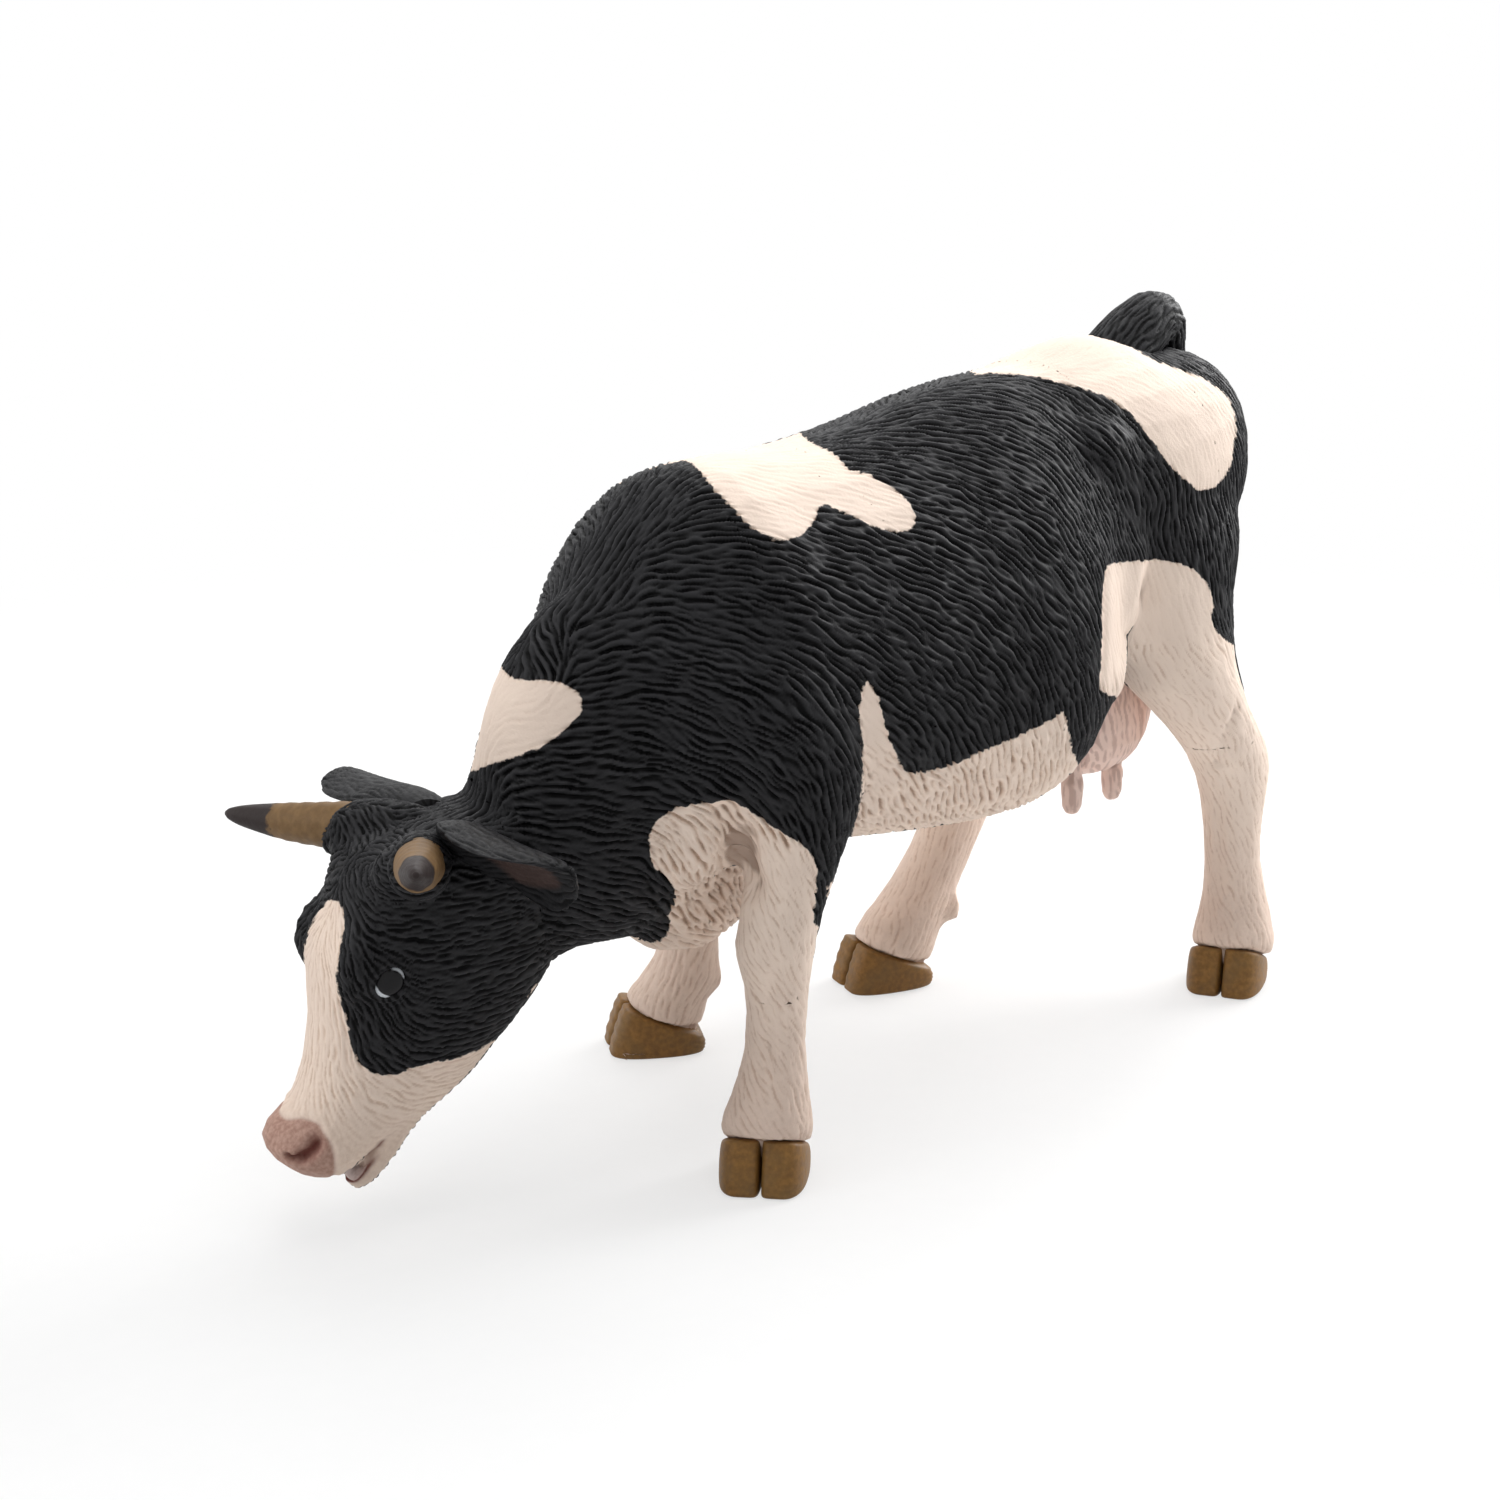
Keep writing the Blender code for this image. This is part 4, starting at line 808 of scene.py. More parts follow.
# %% Skin of the tail and the udder
TAIL_PATH = np.array(((47.8, -5.1, 76.3), (52.9, -5.1, 80.3), (57.9, -5.1, 83.4), (61.7, -5.1, 85.3),
                      (64.3, -4.8, 84.3), (65.7, -4.2, 80.6), (67.3, -3.9, 76.0), (69.4, -4.3, 70.9),
                      (70.6, -5.8, 65.9), (70.6, -8.9, 60.5), (67.3, -12.4, 55.0), (63.7, -15.5, 48.8),
                      (62.4, -16.9, 42.6), (63.9, -17.7, 36.4), (65.3, -17.6, 29.5), (65.9, -17.4, 23.3)))


def along_path(points, path):
    """Direction of the path's segment nearest to each point."""
    gaps = np.array([line_gap(points, pair) for pair in zip(path[:-1], path[1:])])
    return unit(np.diff(path, axis=0))[gaps.argmin(0)]


def carved_net(nodes, passes, strength, way_of, spacing, reach, rise, seed, fuller=0.0):
    """A smoothed net over nodes with fur strokes raised on it, and its fields. The lowest
    5 mm come out fuller by a given width."""
    net = Net(*outer_shell(*net_over(nodes[0] + "_stock", nodes, SKIN_GRID)))
    net.relax(passes, np.full(len(net.points), strength))
    out = net.normals()
    low = 1 - ease(net.points[:, 2] - net.points[:, 2].min(), 3.6, 5.4)
    net.points += (fuller * low - SWELL)[:, None] * out
    way = net.smooth(way_of(net.points), 14)
    way = unit(way - (way * out).sum(1)[:, None] * out)
    relief = locks(ripples(net.points, way, out, spacing, reach, seed))
    net.points += (rise * (relief - 0.6))[:, None] * out
    out = net.normals()
    deep = ((net.smooth(net.points, 16) - net.points) * out).sum(1)
    return net, out, relief, np.clip(net.smooth(deep, 3) / 0.12, -1, 1)


def put_net(name, net, out, fields):
    """The whole net as one piece with its normals and fields."""
    piece = put_mesh(name, net.points, [net.quads])
    for field, values in fields.items():
        give(piece.data, field, values)
    piece.data.normals_split_custom_set_from_vertices(out.tolist())
    print(name, "triangles", 2 * len(net.quads))
    return piece


tail_net, tail_out, tail_relief, tail_hollow = carved_net(
    ("tail",), SMOOTH_PASSES // 2, 0.8, lambda places: along_path(places, TAIL_PATH), 0.85, 2.3, 0.24, 31)
none = np.zeros(len(tail_net.points))
tail_skin = put_net("tail_skin", tail_net, tail_out, {
    "cream": none - 9, "relief": tail_relief, "hollow": tail_hollow, "flesh": none, "blood": none})
udder_net, udder_out, udder_relief, udder_hollow = carved_net(
    ("udder",), SMOOTH_PASSES // 3, 0.5, lambda places: np.tile((0.3, 0.0, -1.0), (len(places), 1)),
    1.1, 1.7, 0.09, 41, fuller=0.42)
udder_skin = put_net("udder_skin", udder_net, udder_out, {"relief": udder_relief, "hollow": udder_hollow})

# %% [markdown]
# ## Horns
# A horn is a cone on a slightly bent line. Its radius falls slowly at first and quickly at
# the end, and low rings of growth run round it. A grid of rings along the line gives it
# exactly, in the places where the mouldings have theirs.

# %% Horns
HORN_ROWS = ((-0.14, 0.40, 0.00), (-0.07, 0.48, 0.00), (0.00, 0.94, 0.00), (0.08, 1.00, 0.00), (0.30, 0.93, 0.02),
             (0.60, 0.74, 0.03), (0.85, 0.48, 0.00), (0.96, 0.28, -0.02), (1.00, 0.11, -0.03))


def horn(name, side, aim):
    """Rings round a line: centre = root + aim * length + lift, radius = table * growth waves."""
    rows = rounded(HORN_ROWS, 9, closed=False)
    aim = unit(np.array((aim[0], aim[1], side * aim[2])) @ head_axes)
    across = unit(np.cross(aim, down_face))
    rise = np.cross(across, aim)
    root = head_point(*HORN_ROOT[:2], side * HORN_ROOT[2])
    turn = np.arange(48) * math.tau / 48
    waves = 1 + 0.022 * np.sin(rows[:, 0] * 58 + 0.5) * ease(rows[:, 0], 0.02, 0.1) * (1 - ease(rows[:, 0], 0.5, 0.8))
    radius = (rows[:, 1] * waves)[:, None] * (1 + 0.012 * np.sin(7 * turn + 9 * rows[:, :1])) * HORN_WIDTH / 2
    middle = root + rows[:, :1] * HORN_LENGTH * aim + rows[:, 2:3] * HORN_WIDTH * rise
    rings = middle[:, None] + radius[..., None] * (np.cos(turn)[:, None] * across + np.sin(turn)[:, None] * rise)
    piece = put_mesh(name, *tube(rings))
    painted = rows[:, 0] - 0.02 * (1 + side)
    give(piece.data, "along", np.concatenate((np.repeat(painted, 48), (painted[0], painted[-1]))))
    print(name, "tip at", np.round(middle[-1], 1).tolist())
    return piece


left_horn, right_horn = horn("left_horn_skin", 1, HORN_AIMS[1]), horn("right_horn_skin", -1, HORN_AIMS[-1])

# %% [markdown]
# ## Ears
# An ear is a leaf: it widens and narrows along its length, and both rims bend towards the
# front, which leaves a hollow. The ring at each place is a flat oval, pushed forward by the
# square of the distance from its middle. Fine strokes lie on the back.

# %% Ears
EAR_LENGTH, EAR_WIDTH, EAR_THICKNESS = 20.8, 9.4, 2.0
EAR_ROWS = ((-0.12, 0.66, 1.60, 0.00), (0.00, 0.95, 2.00, 0.02), (0.15, 1.16, 2.00, 0.07), (0.35, 1.24, 1.60, 0.16),
            (0.60, 1.16, 1.20, 0.20), (0.80, 0.94, 1.00, 0.16), (0.93, 0.62, 0.80, 0.08), (1.00, 0.22, 0.50, 0.02))


def ear(name, side, aim, cup, folding):
    """Flat ovals along a line, their rims pushed to the front by folding * the square of the spread."""
    rows = rounded(EAR_ROWS, 14, closed=False)
    aim = unit(np.array((aim[0], aim[1], side * aim[2])) @ head_axes)
    front = cup[0] * off_face + cup[1] * down_face
    front = unit(front - (front @ aim) * aim)
    across = np.cross(aim, front)
    turn = np.arange(110) * math.tau / 110
    spread, height = np.cos(turn), np.sin(turn)
    root = head_point(-3.27, -6.76, side * 6.81)
    thin = height * rows[:, 2:3] * EAR_THICKNESS / 2 * (1 - 0.45 * np.abs(spread) ** 3)
    lift = folding * spread ** 2 * rows[:, 3:4] * EAR_WIDTH + thin
    lift -= 0.5 * (height > 0) * height * (1 - spread ** 2) * ease(rows[:, :1], 0.1, 0.4) * EAR_THICKNESS / 2
    rings = ((root + rows[:, :1] * EAR_LENGTH * aim)[:, None] + lift[..., None] * front
             + (spread * rows[:, 1:2] * EAR_WIDTH / 2)[..., None] * across)
    flat = rings.reshape(-1, 3)
    outward = np.sign(height)[None, :, None] * front * np.abs(height)[None, :, None] \
        + spread[None, :, None] * across * (1 - np.abs(height))[None, :, None]
    outward = unit(np.broadcast_to(outward, rings.shape)).reshape(-1, 3)
    relief = locks(ripples(flat, np.tile(aim, (len(flat), 1)), outward, 0.75, 2.0, 50 + side))
    rings = rings + (0.2 * (relief.reshape(lift.shape) - 0.6) * ease(rows[:, :1], 0, 0.1))[..., None] \
        * outward.reshape(rings.shape)
    piece = put_mesh(name, *tube(rings))
    inner = (height > 0) * (1 - ease(np.abs(spread), 0.35, 0.75)) * ease(rows[:, :1], 0.2, 0.45) \
        * (1 - ease(rows[:, :1], 0.75, 0.95))
    two = np.zeros(2)
    give(piece.data, "relief", np.concatenate((relief, two)))
    give(piece.data, "inner", np.concatenate((inner.ravel(), two)))
    for field, value in (("cream", -9.0), ("hollow", 0.0), ("flesh", 0.0), ("blood", 0.0)):
        give(piece.data, field, np.full(len(flat) + 2, value))
    print(name, "tip at", np.round(rings[-1].mean(0), 1).tolist())
    return piece


left_ear = ear("left_ear_skin", 1, (-0.155, -0.07, 0.96), (0.38, 0.92), 1.35)
right_ear = ear("right_ear_skin", -1, (0.07, 0.05, 0.98), (0.00, 1.00), 1.0)

# %% [markdown]
# ## Hooves
# A cloven hoof is two claws side by side. Each is a stack of rounded oblongs: wide at the
# sole, leaning back towards the coronet, with the top rim higher at the toe. They stand a
# little proud of the mouldings' claws, which stay inside.

# %% Hooves
HOOF_LENGTH, HOOF_WIDTH, HOOF_HEIGHT, CLEFT = 12.3, 9.9, 5.3, 0.16
CLAW_ROWS = ((0.004, 0.480, 0.330, 0.205, 0.00), (0.03, 0.528, 0.372, 0.232, 0.00), (0.10, 0.546, 0.390, 0.244, 0.03),
             (0.30, 0.510, 0.400, 0.247, 0.15), (0.56, 0.455, 0.405, 0.245, 0.31), (0.76, 0.405, 0.385, 0.234, 0.40),
             (0.84, 0.35, 0.33, 0.20, 0.40))


def oblong(turn, fullness):
    """Cosine and sine of a turn, squared off by the fullness."""
    run, climb = np.cos(turn), np.sin(turn)
    return np.sign(run) * np.abs(run) ** (2 / fullness), np.sign(climb) * np.abs(climb) ** (2 / fullness)


def hoof(name, x, y, degrees):
    """Two claws and the heel between them, each a closed stack of oblongs."""
    forward = np.array((-math.cos(math.radians(degrees)), math.sin(math.radians(degrees)), 0.0))
    aside = np.cross((0, 0, 1), forward)
    rows = rounded(CLAW_ROWS, 6, closed=False)
    turn = np.arange(56) * math.tau / 56
    place, parts = np.array((x, y, 0.0)), []
    for side in (1, -1):
        wide, long = oblong(turn, np.where(np.cos(turn) * side > 0, 2.5, 7.0))
        half_width, half_length = rows[:, 3:4] * HOOF_WIDTH, (rows[:, 1:2] + rows[:, 2:3]) / 2 * HOOF_LENGTH
        half_length = half_length * (1 + 0.012 * np.sin(rows[:, :1] * 34))
        middle = place + (rows[:, 1:2] - rows[:, 2:3]) / 2 * HOOF_LENGTH * forward \
            + side * (half_width + CLEFT / 2) * aside + rows[:, :1] * HOOF_HEIGHT * np.array((0, 0, 1.0))
        rings = (middle[:, None] + (half_width * wide)[..., None] * aside
                 + (half_length * long)[..., None] * forward)
        rings[..., 2] += rows[:, 4:5] * half_length * long
        rings[..., 2] = np.maximum(rings[..., 2], 0.0)
        parts.append(tube(rings))
    wide, long = oblong(turn, 2.8)
    heel_rows = rounded(((0.004, 0.80), (0.06, 0.96), (0.30, 1.0), (0.46, 0.85), (0.56, 0.55)), 4, closed=False)
    heel = place - 0.2 * HOOF_LENGTH * forward + heel_rows[:, :1] * HOOF_HEIGHT * np.array((0, 0, 1.0))
    parts.append(tube(heel[:, None] + heel_rows[:, 1:2, None] * ((0.3 * HOOF_WIDTH * wide)[:, None] * aside
                                                                + (0.2 * HOOF_LENGTH * long)[:, None] * forward)))
    piece = put_mesh(name, *joined(parts))
    print(name, "points", len(piece.data.vertices))
    return piece


hooves = {name: hoof(name, *place) for name, place in HOOVES.items()}

# %% [markdown]
# ## Eyes and tongue
# The eyes are painted glossy black with a sliver of white in each corner. A ball behind the
# lids gives the bulge and the highlight. The tongue is a flat rounded bar between the lips.

# %% Eyes and tongue
EYE_RADIUS = 2.3


def eye_ball(name, side):
    """Rings from pole to pole: radius = R sin(angle), height = R cos(angle)."""
    fold = np.diag((1.0, 1.0, side))
    out, long_way, tall = ((axis @ head_axes.T) @ fold @ head_axes for axis in (eye_out, eye_long, eye_tall))
    spot = POLL + ((EYE_SPOT - POLL) @ head_axes.T) @ fold @ head_axes
    angle = np.linspace(0.04, math.pi - 0.04, 48)[:, None]
    turn = np.arange(64) * math.tau / 64
    local = np.stack((EYE_RADIUS * np.sin(angle) * np.cos(turn), EYE_RADIUS * np.sin(angle) * np.sin(turn),
                      EYE_RADIUS * np.cos(angle) * np.ones(64)), -1)
    rings = spot + (0.12 - EYE_RADIUS) * out + local @ np.array((long_way, tall, out))
    piece = put_mesh(name, *tube(rings))
    reach = np.hypot(local[..., 0], 0.8 * local[..., 1])
    give(piece.data, "white", np.concatenate((ease(reach, 1.36, 1.42).ravel(), (0, 0))))
    return piece


eyes = [eye_ball("left_eye", 1), eye_ball("right_eye", -1)]
tongue_rows = rounded(((0.02, 1.0, 0.10), (0.08, 2.0, 0.28), (0.35, 2.7, 0.42), (0.50, 2.4, 0.42), (0.58, 1.7, 0.3),
                       (0.61, 0.7, 0.12)), 6, closed=False)
lip_turn = np.arange(40) * math.tau / 40
lip_length = np.linalg.norm(mouth_front - mouth_corner)
tongue = put_mesh("tongue", *tube(
    (mouth_corner + tongue_rows[:, :1] * lip_length * lip_way)[:, None]
    + (tongue_rows[:, 1:2] * np.cos(lip_turn))[..., None] * to_left
    + (tongue_rows[:, 2:3] * np.sin(lip_turn))[..., None] * lip_across))
upper = np.broadcast_to(ease(np.sin(lip_turn), -0.2, 0.3), (len(tongue_rows), 40)).ravel()
give(tongue.data, "upper", np.concatenate((upper, (0.5, 0.5))))
print("eyes and tongue made")

# %% [markdown]
# ## Paint as nodes
# Every finish is mixed from the numbers that the skin carries and from noise in the piece's
# own space. A small helper adds a node, sets its plain values and plugs in the rest, so a
# finish reads as a recipe.

# %% A helper for recipes
class Finish:
    """A material under construction, with its shader and its object coordinates."""

    def __init__(self, name):
        self.material = bpy.data.materials.new(name)
        self.material.use_nodes = True
        self.tree = self.material.node_tree
        self.shader = self.tree.nodes["Principled BSDF"]
        self.place = self.add("ShaderNodeTexCoord").outputs["Object"]

    def add(self, kind, settings=(), **inputs):
        """A node with its settings; an input is a value or another node's output."""
        node = self.tree.nodes.new(kind)
        for key, value in dict(settings).items():
            setattr(node, key, value)
        for key, value in inputs.items():
            socket = node.inputs[int(key[1:])] if key[1:].isdigit() else node.inputs[key.replace("_", " ")]
            if isinstance(value, bpy.types.NodeSocket):
                self.tree.links.new(value, socket)
            else:
                socket.default_value = value
        return node

    def field(self, name):
        """A number that the mesh carries."""
        return self.add("ShaderNodeAttribute", {"attribute_name": name}).outputs["Fac"]

    def noise(self, size, detail=2.0):
        """Noise whose lumps are about this many mm wide."""
        return self.add("ShaderNodeTexNoise", Vector=self.place, Scale=1000.0 / size, Detail=detail).outputs["Fac"]

    def span(self, value, low, high, out_low=0.0, out_high=1.0):
        """A value's span turned into another, with smooth ends."""
        node = self.add("ShaderNodeMapRange", {"interpolation_type": "SMOOTHSTEP"}, Value=value,
                        i1=low, i2=high, i3=out_low, i4=out_high)
        return node.outputs["Result"]

    def math(self, work, a, b=0.0):
        """One sum on two numbers."""
        return self.add("ShaderNodeMath", {"operation": work}, i0=a, i1=b).outputs["Value"]

    def mix(self, share, a, b, way="MIX"):
        """Colour a turned into b by the share."""
        node = self.add("ShaderNodeMix", {"data_type": "RGBA", "blend_type": way}, i0=share)
        for socket, value in ((node.inputs[6], a), (node.inputs[7], b)):
            if isinstance(value, bpy.types.NodeSocket):
                self.tree.links.new(value, socket)
            else:
                socket.default_value = (*value, 1.0)
        return node.outputs[2]

    def paint(self, colour, roughness, bumps=None, height=0.02):
        """Plugs colour, roughness and a bump of this height in mm into the shader."""
        self.tree.links.new(colour, self.shader.inputs["Base Color"])
        self.tree.links.new(roughness, self.shader.inputs["Roughness"])
        if bumps is not None:
            bump = self.add("ShaderNodeBump", Height=bumps, Distance=height * MM, Strength=1.0)
            self.tree.links.new(bump.outputs["Normal"], self.shader.inputs["Normal"])
        return self.material


# %% [markdown]
# ## The painted coat
# Black paint lies over the fur, darkest in the grooves as painted shade and lighter on the ridges as
# painted highlight, with a patchy grey painted highlight on the highest ridges. Cream paint is brown
# in the grooves, partly a thin paint washed into them and partly painted shade. The edge between both
# is wet paint pulled along the locks, so noise pushes it to and fro.

# %% Coat
def coat_finish():
    """Black or cream by the edge distance, then painted shade in grooves and hollows (on cream also paint washed in),
    painted ridge highlights, flesh, blood and specks.
    """
    coat = Finish("painted_coat")
    relief, hollow, edge = coat.field("relief"), coat.field("hollow"), coat.field("cream")
    fine, broad = coat.noise(0.45, 3.0), coat.noise(6.0)
    ragged = coat.math("ADD", edge, coat.math("MULTIPLY", coat.math("SUBTRACT", coat.noise(0.9), 0.5), 0.7))
    cream_share = coat.span(ragged, -0.09, 0.09)
    # Painted shade, partly paint washed in: the cream turns brown in the grooves of the fur.
    wash_and_groove_shade = coat.span(coat.math("ADD", relief, coat.math("MULTIPLY", coat.math("SUBTRACT", fine, 0.5), 0.35)), 0.2, 0.8)
    lit = coat.span(coat.math("ADD", relief, coat.math("MULTIPLY", coat.math("SUBTRACT", fine, 0.5), 0.3)), 0.3, 1.0)
    # Painted shade and highlight: the black is darkest in the grooves and lighter on the ridges.
    black = coat.mix(lit, (0.0006, 0.0006, 0.0008), (0.0310, 0.0308, 0.0330))
    # Painted highlight: a patchy light grey on the highest ridges.
    ridge_highlight = coat.math("MULTIPLY", coat.span(relief, 0.82, 1.0), coat.span(broad, 0.45, 0.7))
    black = coat.mix(coat.math("MULTIPLY", ridge_highlight, 0.35), black, (0.060, 0.060, 0.063))
    cream = coat.mix(wash_and_groove_shade, (0.65, 0.485, 0.38), (0.885, 0.735, 0.625))
    cream = coat.mix(coat.span(broad, 0.35, 0.7, 0.0, 0.35), cream, (0.78, 0.64, 0.55))
    # Painted shade, partly paint washed in: the cream turns dark brown in the hollows.
    cream = coat.mix(coat.span(hollow, 0.15, 1.1, 0.0, 0.75), cream, (0.30, 0.20, 0.15))
    flesh_tone = coat.mix(coat.span(fine, 0.25, 0.75), (0.37, 0.215, 0.17), (0.52, 0.34, 0.275))
    cream = coat.mix(coat.field("flesh"), cream, flesh_tone)
    cream = coat.mix(coat.field("blood"), cream, (0.16, 0.045, 0.035))
    dots = coat.add("ShaderNodeTexVoronoi", Vector=coat.place, Scale=1000.0 / 3.2)
    chosen = coat.math("GREATER_THAN", dots.outputs["Color"], 0.8)
    speck = coat.math("MULTIPLY", coat.math("LESS_THAN", dots.outputs["Distance"], 0.035), chosen)
    cream = coat.mix(coat.math("MULTIPLY", speck, 0.85), cream, (0.03, 0.025, 0.025))
    colour = coat.mix(cream_share, black, cream)
    roughness = coat.math("ADD", coat.span(fine, 0.2, 0.8, 0.42, 0.6), coat.math("MULTIPLY", cream_share, 0.06))
    coat.shader.inputs["Specular IOR Level"].default_value = 0.07
    grain = coat.math("ADD", coat.noise(0.28, 4.0), coat.math("MULTIPLY", fine, 0.6))
    return coat.paint(colour, roughness, grain, 0.035)


painted_coat = coat_finish()
print("coat nodes:", len(painted_coat.node_tree.nodes))

# %% [markdown]
# ## The smaller finishes
# Horn is ochre, streaked along, with a dark tip. Hooves are olive brown, with a grey bloom in
# patches. The udder is a greyish pink, darker in its grooves and hollows: partly paint washed in as
# on the coat, partly painted shade. The ears add a bare brown-pink hollow to the black coat. The eye
# is black under a clear gloss.

# %% Horn, hoof, udder, ear, eye and tongue
def horn_finish():
    """Ochre to dark by the place along the horn."""
    horn_paint = Finish("horn_paint")
    along, fine = horn_paint.field("along"), horn_paint.noise(0.8, 4.0)
    broken = horn_paint.math("ADD", along, horn_paint.math("MULTIPLY", horn_paint.math("SUBTRACT", fine, 0.5), 0.12))
    ochre = horn_paint.mix(horn_paint.span(fine, 0.3, 0.75), (0.150, 0.086, 0.036), (0.205, 0.122, 0.053))
    colour = horn_paint.mix(horn_paint.span(broken, 0.635, 0.665), ochre, (0.022, 0.015, 0.014))
    horn_paint.shader.inputs["Specular IOR Level"].default_value = 0.2
    return horn_paint.paint(colour, horn_paint.span(fine, 0.2, 0.8, 0.5, 0.62), horn_paint.noise(0.5, 3.0), 0.05)


def hoof_finish():
    """Olive brown, lighter where it is worn."""
    hoof_paint = Finish("hoof_paint")
    fine, broad = hoof_paint.noise(0.6, 4.0), hoof_paint.noise(4.0)
    colour = hoof_paint.mix(hoof_paint.span(fine, 0.25, 0.8), (0.165, 0.079, 0.018), (0.265, 0.134, 0.034))
    colour = hoof_paint.mix(hoof_paint.span(broad, 0.4, 0.7, 0.0, 0.4), colour, (0.15, 0.095, 0.038))
    hoof_paint.shader.inputs["Specular IOR Level"].default_value = 0.3
    return hoof_paint.paint(colour, hoof_paint.span(fine, 0.2, 0.8, 0.42, 0.58), hoof_paint.noise(0.7, 3.0), 0.06)


def udder_finish():
    """Greyish pink, darker in the grooves and the hollows: partly paint washed in, partly painted shade."""
    udder_paint = Finish("udder_paint")
    udder_paint.shader.inputs["Specular IOR Level"].default_value = 0.3
    relief, hollow, fine = udder_paint.field("relief"), udder_paint.field("hollow"), udder_paint.noise(0.6, 3.0)
    # Painted shade, partly paint washed in: darker pink in the grooves, dark brown in the hollows.
    colour = udder_paint.mix(udder_paint.span(relief, 0.25, 0.85), (0.62, 0.44, 0.38), (0.84, 0.64, 0.56))
    colour = udder_paint.mix(udder_paint.span(hollow, 0.1, 1.0, 0.0, 0.6), colour, (0.30, 0.17, 0.135))
    return udder_paint.paint(colour, udder_paint.span(fine, 0.2, 0.8, 0.45, 0.6), fine, 0.04)


def ear_finish():
    """The black coat with a bare hollow."""
    ear_paint = Finish("ear_paint")
    ear_paint.shader.inputs["Specular IOR Level"].default_value = 0.08
    relief, inner, fine = ear_paint.field("relief"), ear_paint.field("inner"), ear_paint.noise(0.45, 3.0)
    # Painted shade and highlight: the black is darker in the grooves and lighter on the ridges.
    black = ear_paint.mix(ear_paint.span(relief, 0.2, 0.9), (0.0035, 0.0035, 0.004), (0.0175, 0.0175, 0.019))
    colour = ear_paint.mix(ear_paint.span(inner, 0.3, 0.9, 0.0, 0.85), black, (0.062, 0.040, 0.035))
    return ear_paint.paint(colour, ear_paint.span(fine, 0.2, 0.8, 0.42, 0.6), ear_paint.noise(0.28, 4.0), 0.035)


def eye_finish():
    """Black with white corners under a clear coat."""
    eye_paint = Finish("eye_gloss")
    white = eye_paint.field("white")
    tinted = eye_paint.mix(eye_paint.noise(1.0), (0.006, 0.006, 0.007), (0.012, 0.011, 0.012))
    colour = eye_paint.mix(white, tinted, (0.68, 0.72, 0.76))
    eye_paint.shader.inputs["Specular IOR Level"].default_value = 0.16
    return eye_paint.paint(colour, eye_paint.span(eye_paint.noise(0.6), 0.2, 0.8, 0.06, 0.12))


def tongue_finish():
    """Dark red below, with a pale pink upper side."""
    tongue_paint = Finish("tongue_paint")
    fine = tongue_paint.noise(0.5, 3.0)
    red = tongue_paint.mix(tongue_paint.span(fine, 0.3, 0.7), (0.17, 0.05, 0.04), (0.27, 0.10, 0.08))
    pink = tongue_paint.mix(tongue_paint.span(fine, 0.3, 0.7), (0.50, 0.34, 0.30), (0.62, 0.47, 0.43))
    colour = tongue_paint.mix(tongue_paint.field("upper"), red, pink)
    return tongue_paint.paint(colour, tongue_paint.span(fine, 0.2, 0.8, 0.3, 0.45), fine, 0.05)


horn_paint, hoof_paint, udder_paint = horn_finish(), hoof_finish(), udder_finish()
ear_paint, eye_gloss, tongue_paint = ear_finish(), eye_finish(), tongue_finish()

# %% [markdown]
# ## Hand the pieces over
# Every piece rides on the one body of the figure and hides the moulding that it stands for.

# %% Paint and place
def hand_over(piece, material, slot, *nodes):
    """Gives a piece its material and its body, and hides the nodes that it stands for; the slot is not used."""
    piece.data.materials.append(material)
    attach(piece, "root")
    if nodes:
        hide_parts(*nodes)


for name, nodes in (("neck", ("torso",)), ("shoulders", ("torso",)), ("barrel", ("torso",)), ("loin", ("torso",)),
                    ("flanks", ("torso",)), ("hindquarters", ("torso",)), ("head", ("head",))):
    hand_over(skin_pieces[name], painted_coat, "black_plastic", *nodes)
for leg in ("front_left", "front_right", "hind_left", "hind_right"):
    hand_over(skin_pieces[leg + "_leg_skin"], painted_coat, "white_plastic", leg + "_leg")
    hand_over(hooves[leg + "_hoof"], hoof_paint, "white_plastic", leg + "_leg")
hand_over(tail_skin, painted_coat, "black_plastic", "tail")
hand_over(udder_skin, udder_paint, "udder_plastic", "udder")
for piece, node in ((left_horn, "left_horn"), (right_horn, "right_horn")):
    hand_over(piece, horn_paint, "horn_plastic", node)
for piece, node in ((left_ear, "left_ear"), (right_ear, "right_ear")):
    hand_over(piece, ear_paint, "black_plastic", node)
for piece in eyes:
    hand_over(piece, eye_gloss, "black_plastic", "head")
hand_over(tongue, tongue_paint, "udder_plastic", "head")

# %% [markdown]
# ## Paper and light
# The picture was taken on white paper that curves up behind the figure, under one wide soft
# lamp. The paper is a profile carried sideways: flat, then a quarter circle, then upright.
# It glows faintly for the camera alone, so it looks white and still takes the shadow.

# %% Paper sweep, lamps and surroundings
def sweep_paper():
    """Profile: flat run, quarter circle, wall; carried along the picture's right."""
    bend, steps = 260.0, np.linspace(0, math.pi / 2, 25)
    away, up = [np.array((-900.0,)), 900 + bend * np.sin(steps), np.array((900 + bend,))], \
        [np.array((0.0,)), bend * (1 - np.cos(steps)), np.array((1500.0,))]
    away, up = np.concatenate(away), np.concatenate(up)
    back = -unit(np.array((to_camera[0], to_camera[1], 0)))
    side = np.array((-2200.0, 2200.0))
    points = away[:, None, None] * back + side[None, :, None] * picture_right
    points = points + up[:, None, None] * np.array((0, 0, 1.0))
    index = np.arange(len(away) * 2).reshape(-1, 2)
    faces = np.stack((index[:-1, 0], index[:-1, 1], index[1:, 1], index[1:, 0]), -1)
    return put_mesh("paper", points.reshape(-1, 3) - np.array((0, 0, 0.02)), [faces])


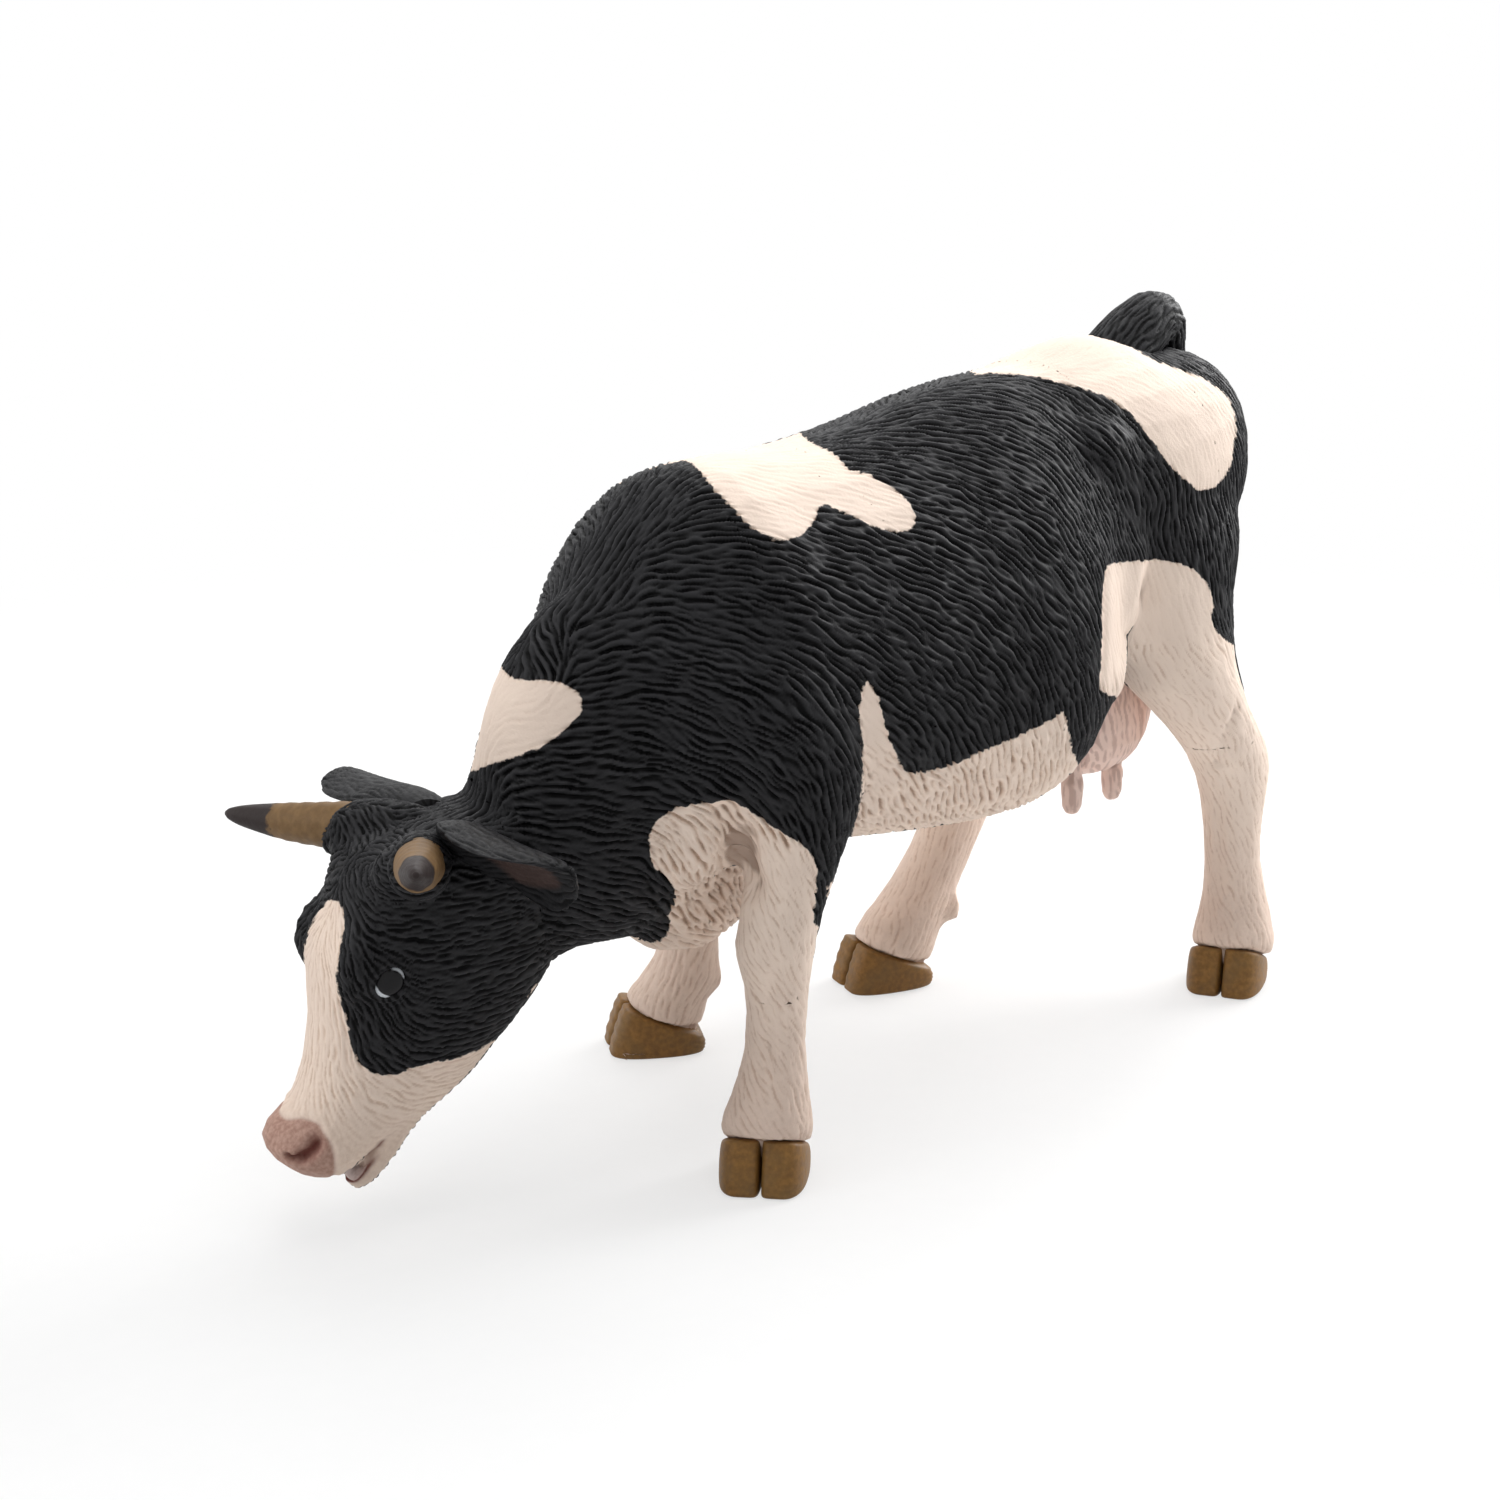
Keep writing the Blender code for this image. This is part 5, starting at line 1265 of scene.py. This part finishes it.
paper = sweep_paper()
paper_white = Finish("paper_white")
seen = paper_white.add("ShaderNodeLightPath")
through = paper_white.math("MAXIMUM", seen.outputs["Is Camera Ray"], paper_white.math(
    "MAXIMUM", seen.outputs["Is Glossy Ray"], seen.outputs["Is Transmission Ray"]))
grain = paper_white.noise(3.0)
white = paper_white.mix(through, (0.80, 0.80, 0.80), paper_white.mix(grain, (0.31, 0.31, 0.31), (0.33, 0.33, 0.33)))
paper_white.paint(white, paper_white.span(grain, 0, 1, 0.75, 0.85))
paper_white.shader.inputs["Specular IOR Level"].default_value = 0.0
glow = paper_white.add("ShaderNodeEmission", Color=(1, 1, 1, 1), Strength=paper_white.math("MULTIPLY", through, 0.64))
near = paper_white.add("ShaderNodeAddShader", i0=paper_white.shader.outputs[0], i1=glow.outputs[0])
far_white = paper_white.add("ShaderNodeEmission", Color=(1, 1, 1, 1), Strength=1.0)
away = paper_white.add("ShaderNodeVectorMath", {"operation": "LENGTH"}, i0=paper_white.place).outputs["Value"]
fade = paper_white.math("MULTIPLY", through, paper_white.span(away, 0.11, 0.30))
both = paper_white.add("ShaderNodeMixShader", i0=fade, i1=near.outputs[0], i2=far_white.outputs[0])
paper_white.tree.links.new(both.outputs[0], paper_white.tree.nodes["Material Output"].inputs["Surface"])
paper.data.materials.append(paper_white.material)


def soft_lamp(name, spot, aim, size, power):
    """A square area lamp at a spot in mm, turned to its aim."""
    lamp = bpy.data.lights.new(name, "AREA")
    lamp.shape, lamp.size, lamp.energy = "SQUARE", size * MM, power
    held = bpy.data.objects.new(name, lamp)
    bpy.context.scene.collection.objects.link(held)
    back = unit(np.array(spot, float) - np.array(aim, float))
    right = unit(np.cross((0.0, 0.001, 1.0), back))
    frame_of_lamp = np.eye(4)
    frame_of_lamp[:3, :4] = np.stack((right, np.cross(back, right), back, np.array(spot) * MM), 1)
    held.matrix_world = Matrix(frame_of_lamp.tolist())
    held.visible_camera = False
    return held


soft_lamp("lamp_above", (-60, -40, 640), (0, 0, 30), 560, 1.75)
soft_lamp("lamp_left", (-430, 230, 280), (-10, 0, 40), 380, 1.05)
soft_lamp("lamp_right", (500, -52, 290), (0, 0, 30), 380, 4.05)
soft_lamp("lamp_behind", (292, 273, 450), (0, 0, 30), 380, 1.2)
world = bpy.data.worlds.new("studio")
bpy.context.scene.world = world
world.use_nodes = True
sky = world.node_tree.nodes["Background"]
sky.inputs["Color"].default_value = (1, 1, 1, 1)
rays = world.node_tree.nodes.new("ShaderNodeLightPath")
seen_white = rays.outputs["Is Camera Ray"]
for ray in ("Is Glossy Ray", "Is Transmission Ray"):
    either = world.node_tree.nodes.new("ShaderNodeMath")
    either.operation = "MAXIMUM"
    world.node_tree.links.new(seen_white, either.inputs[0])
    world.node_tree.links.new(rays.outputs[ray], either.inputs[1])
    seen_white = either.outputs[0]
strength = world.node_tree.nodes.new("ShaderNodeMapRange")
strength.inputs["To Min"].default_value, strength.inputs["To Max"].default_value = 0.25, 1.0
world.node_tree.links.new(seen_white, strength.inputs["Value"])
world.node_tree.links.new(strength.outputs["Result"], sky.inputs["Strength"])
bpy.context.scene.view_settings.view_transform = "Standard"
print("lamps and paper ready")
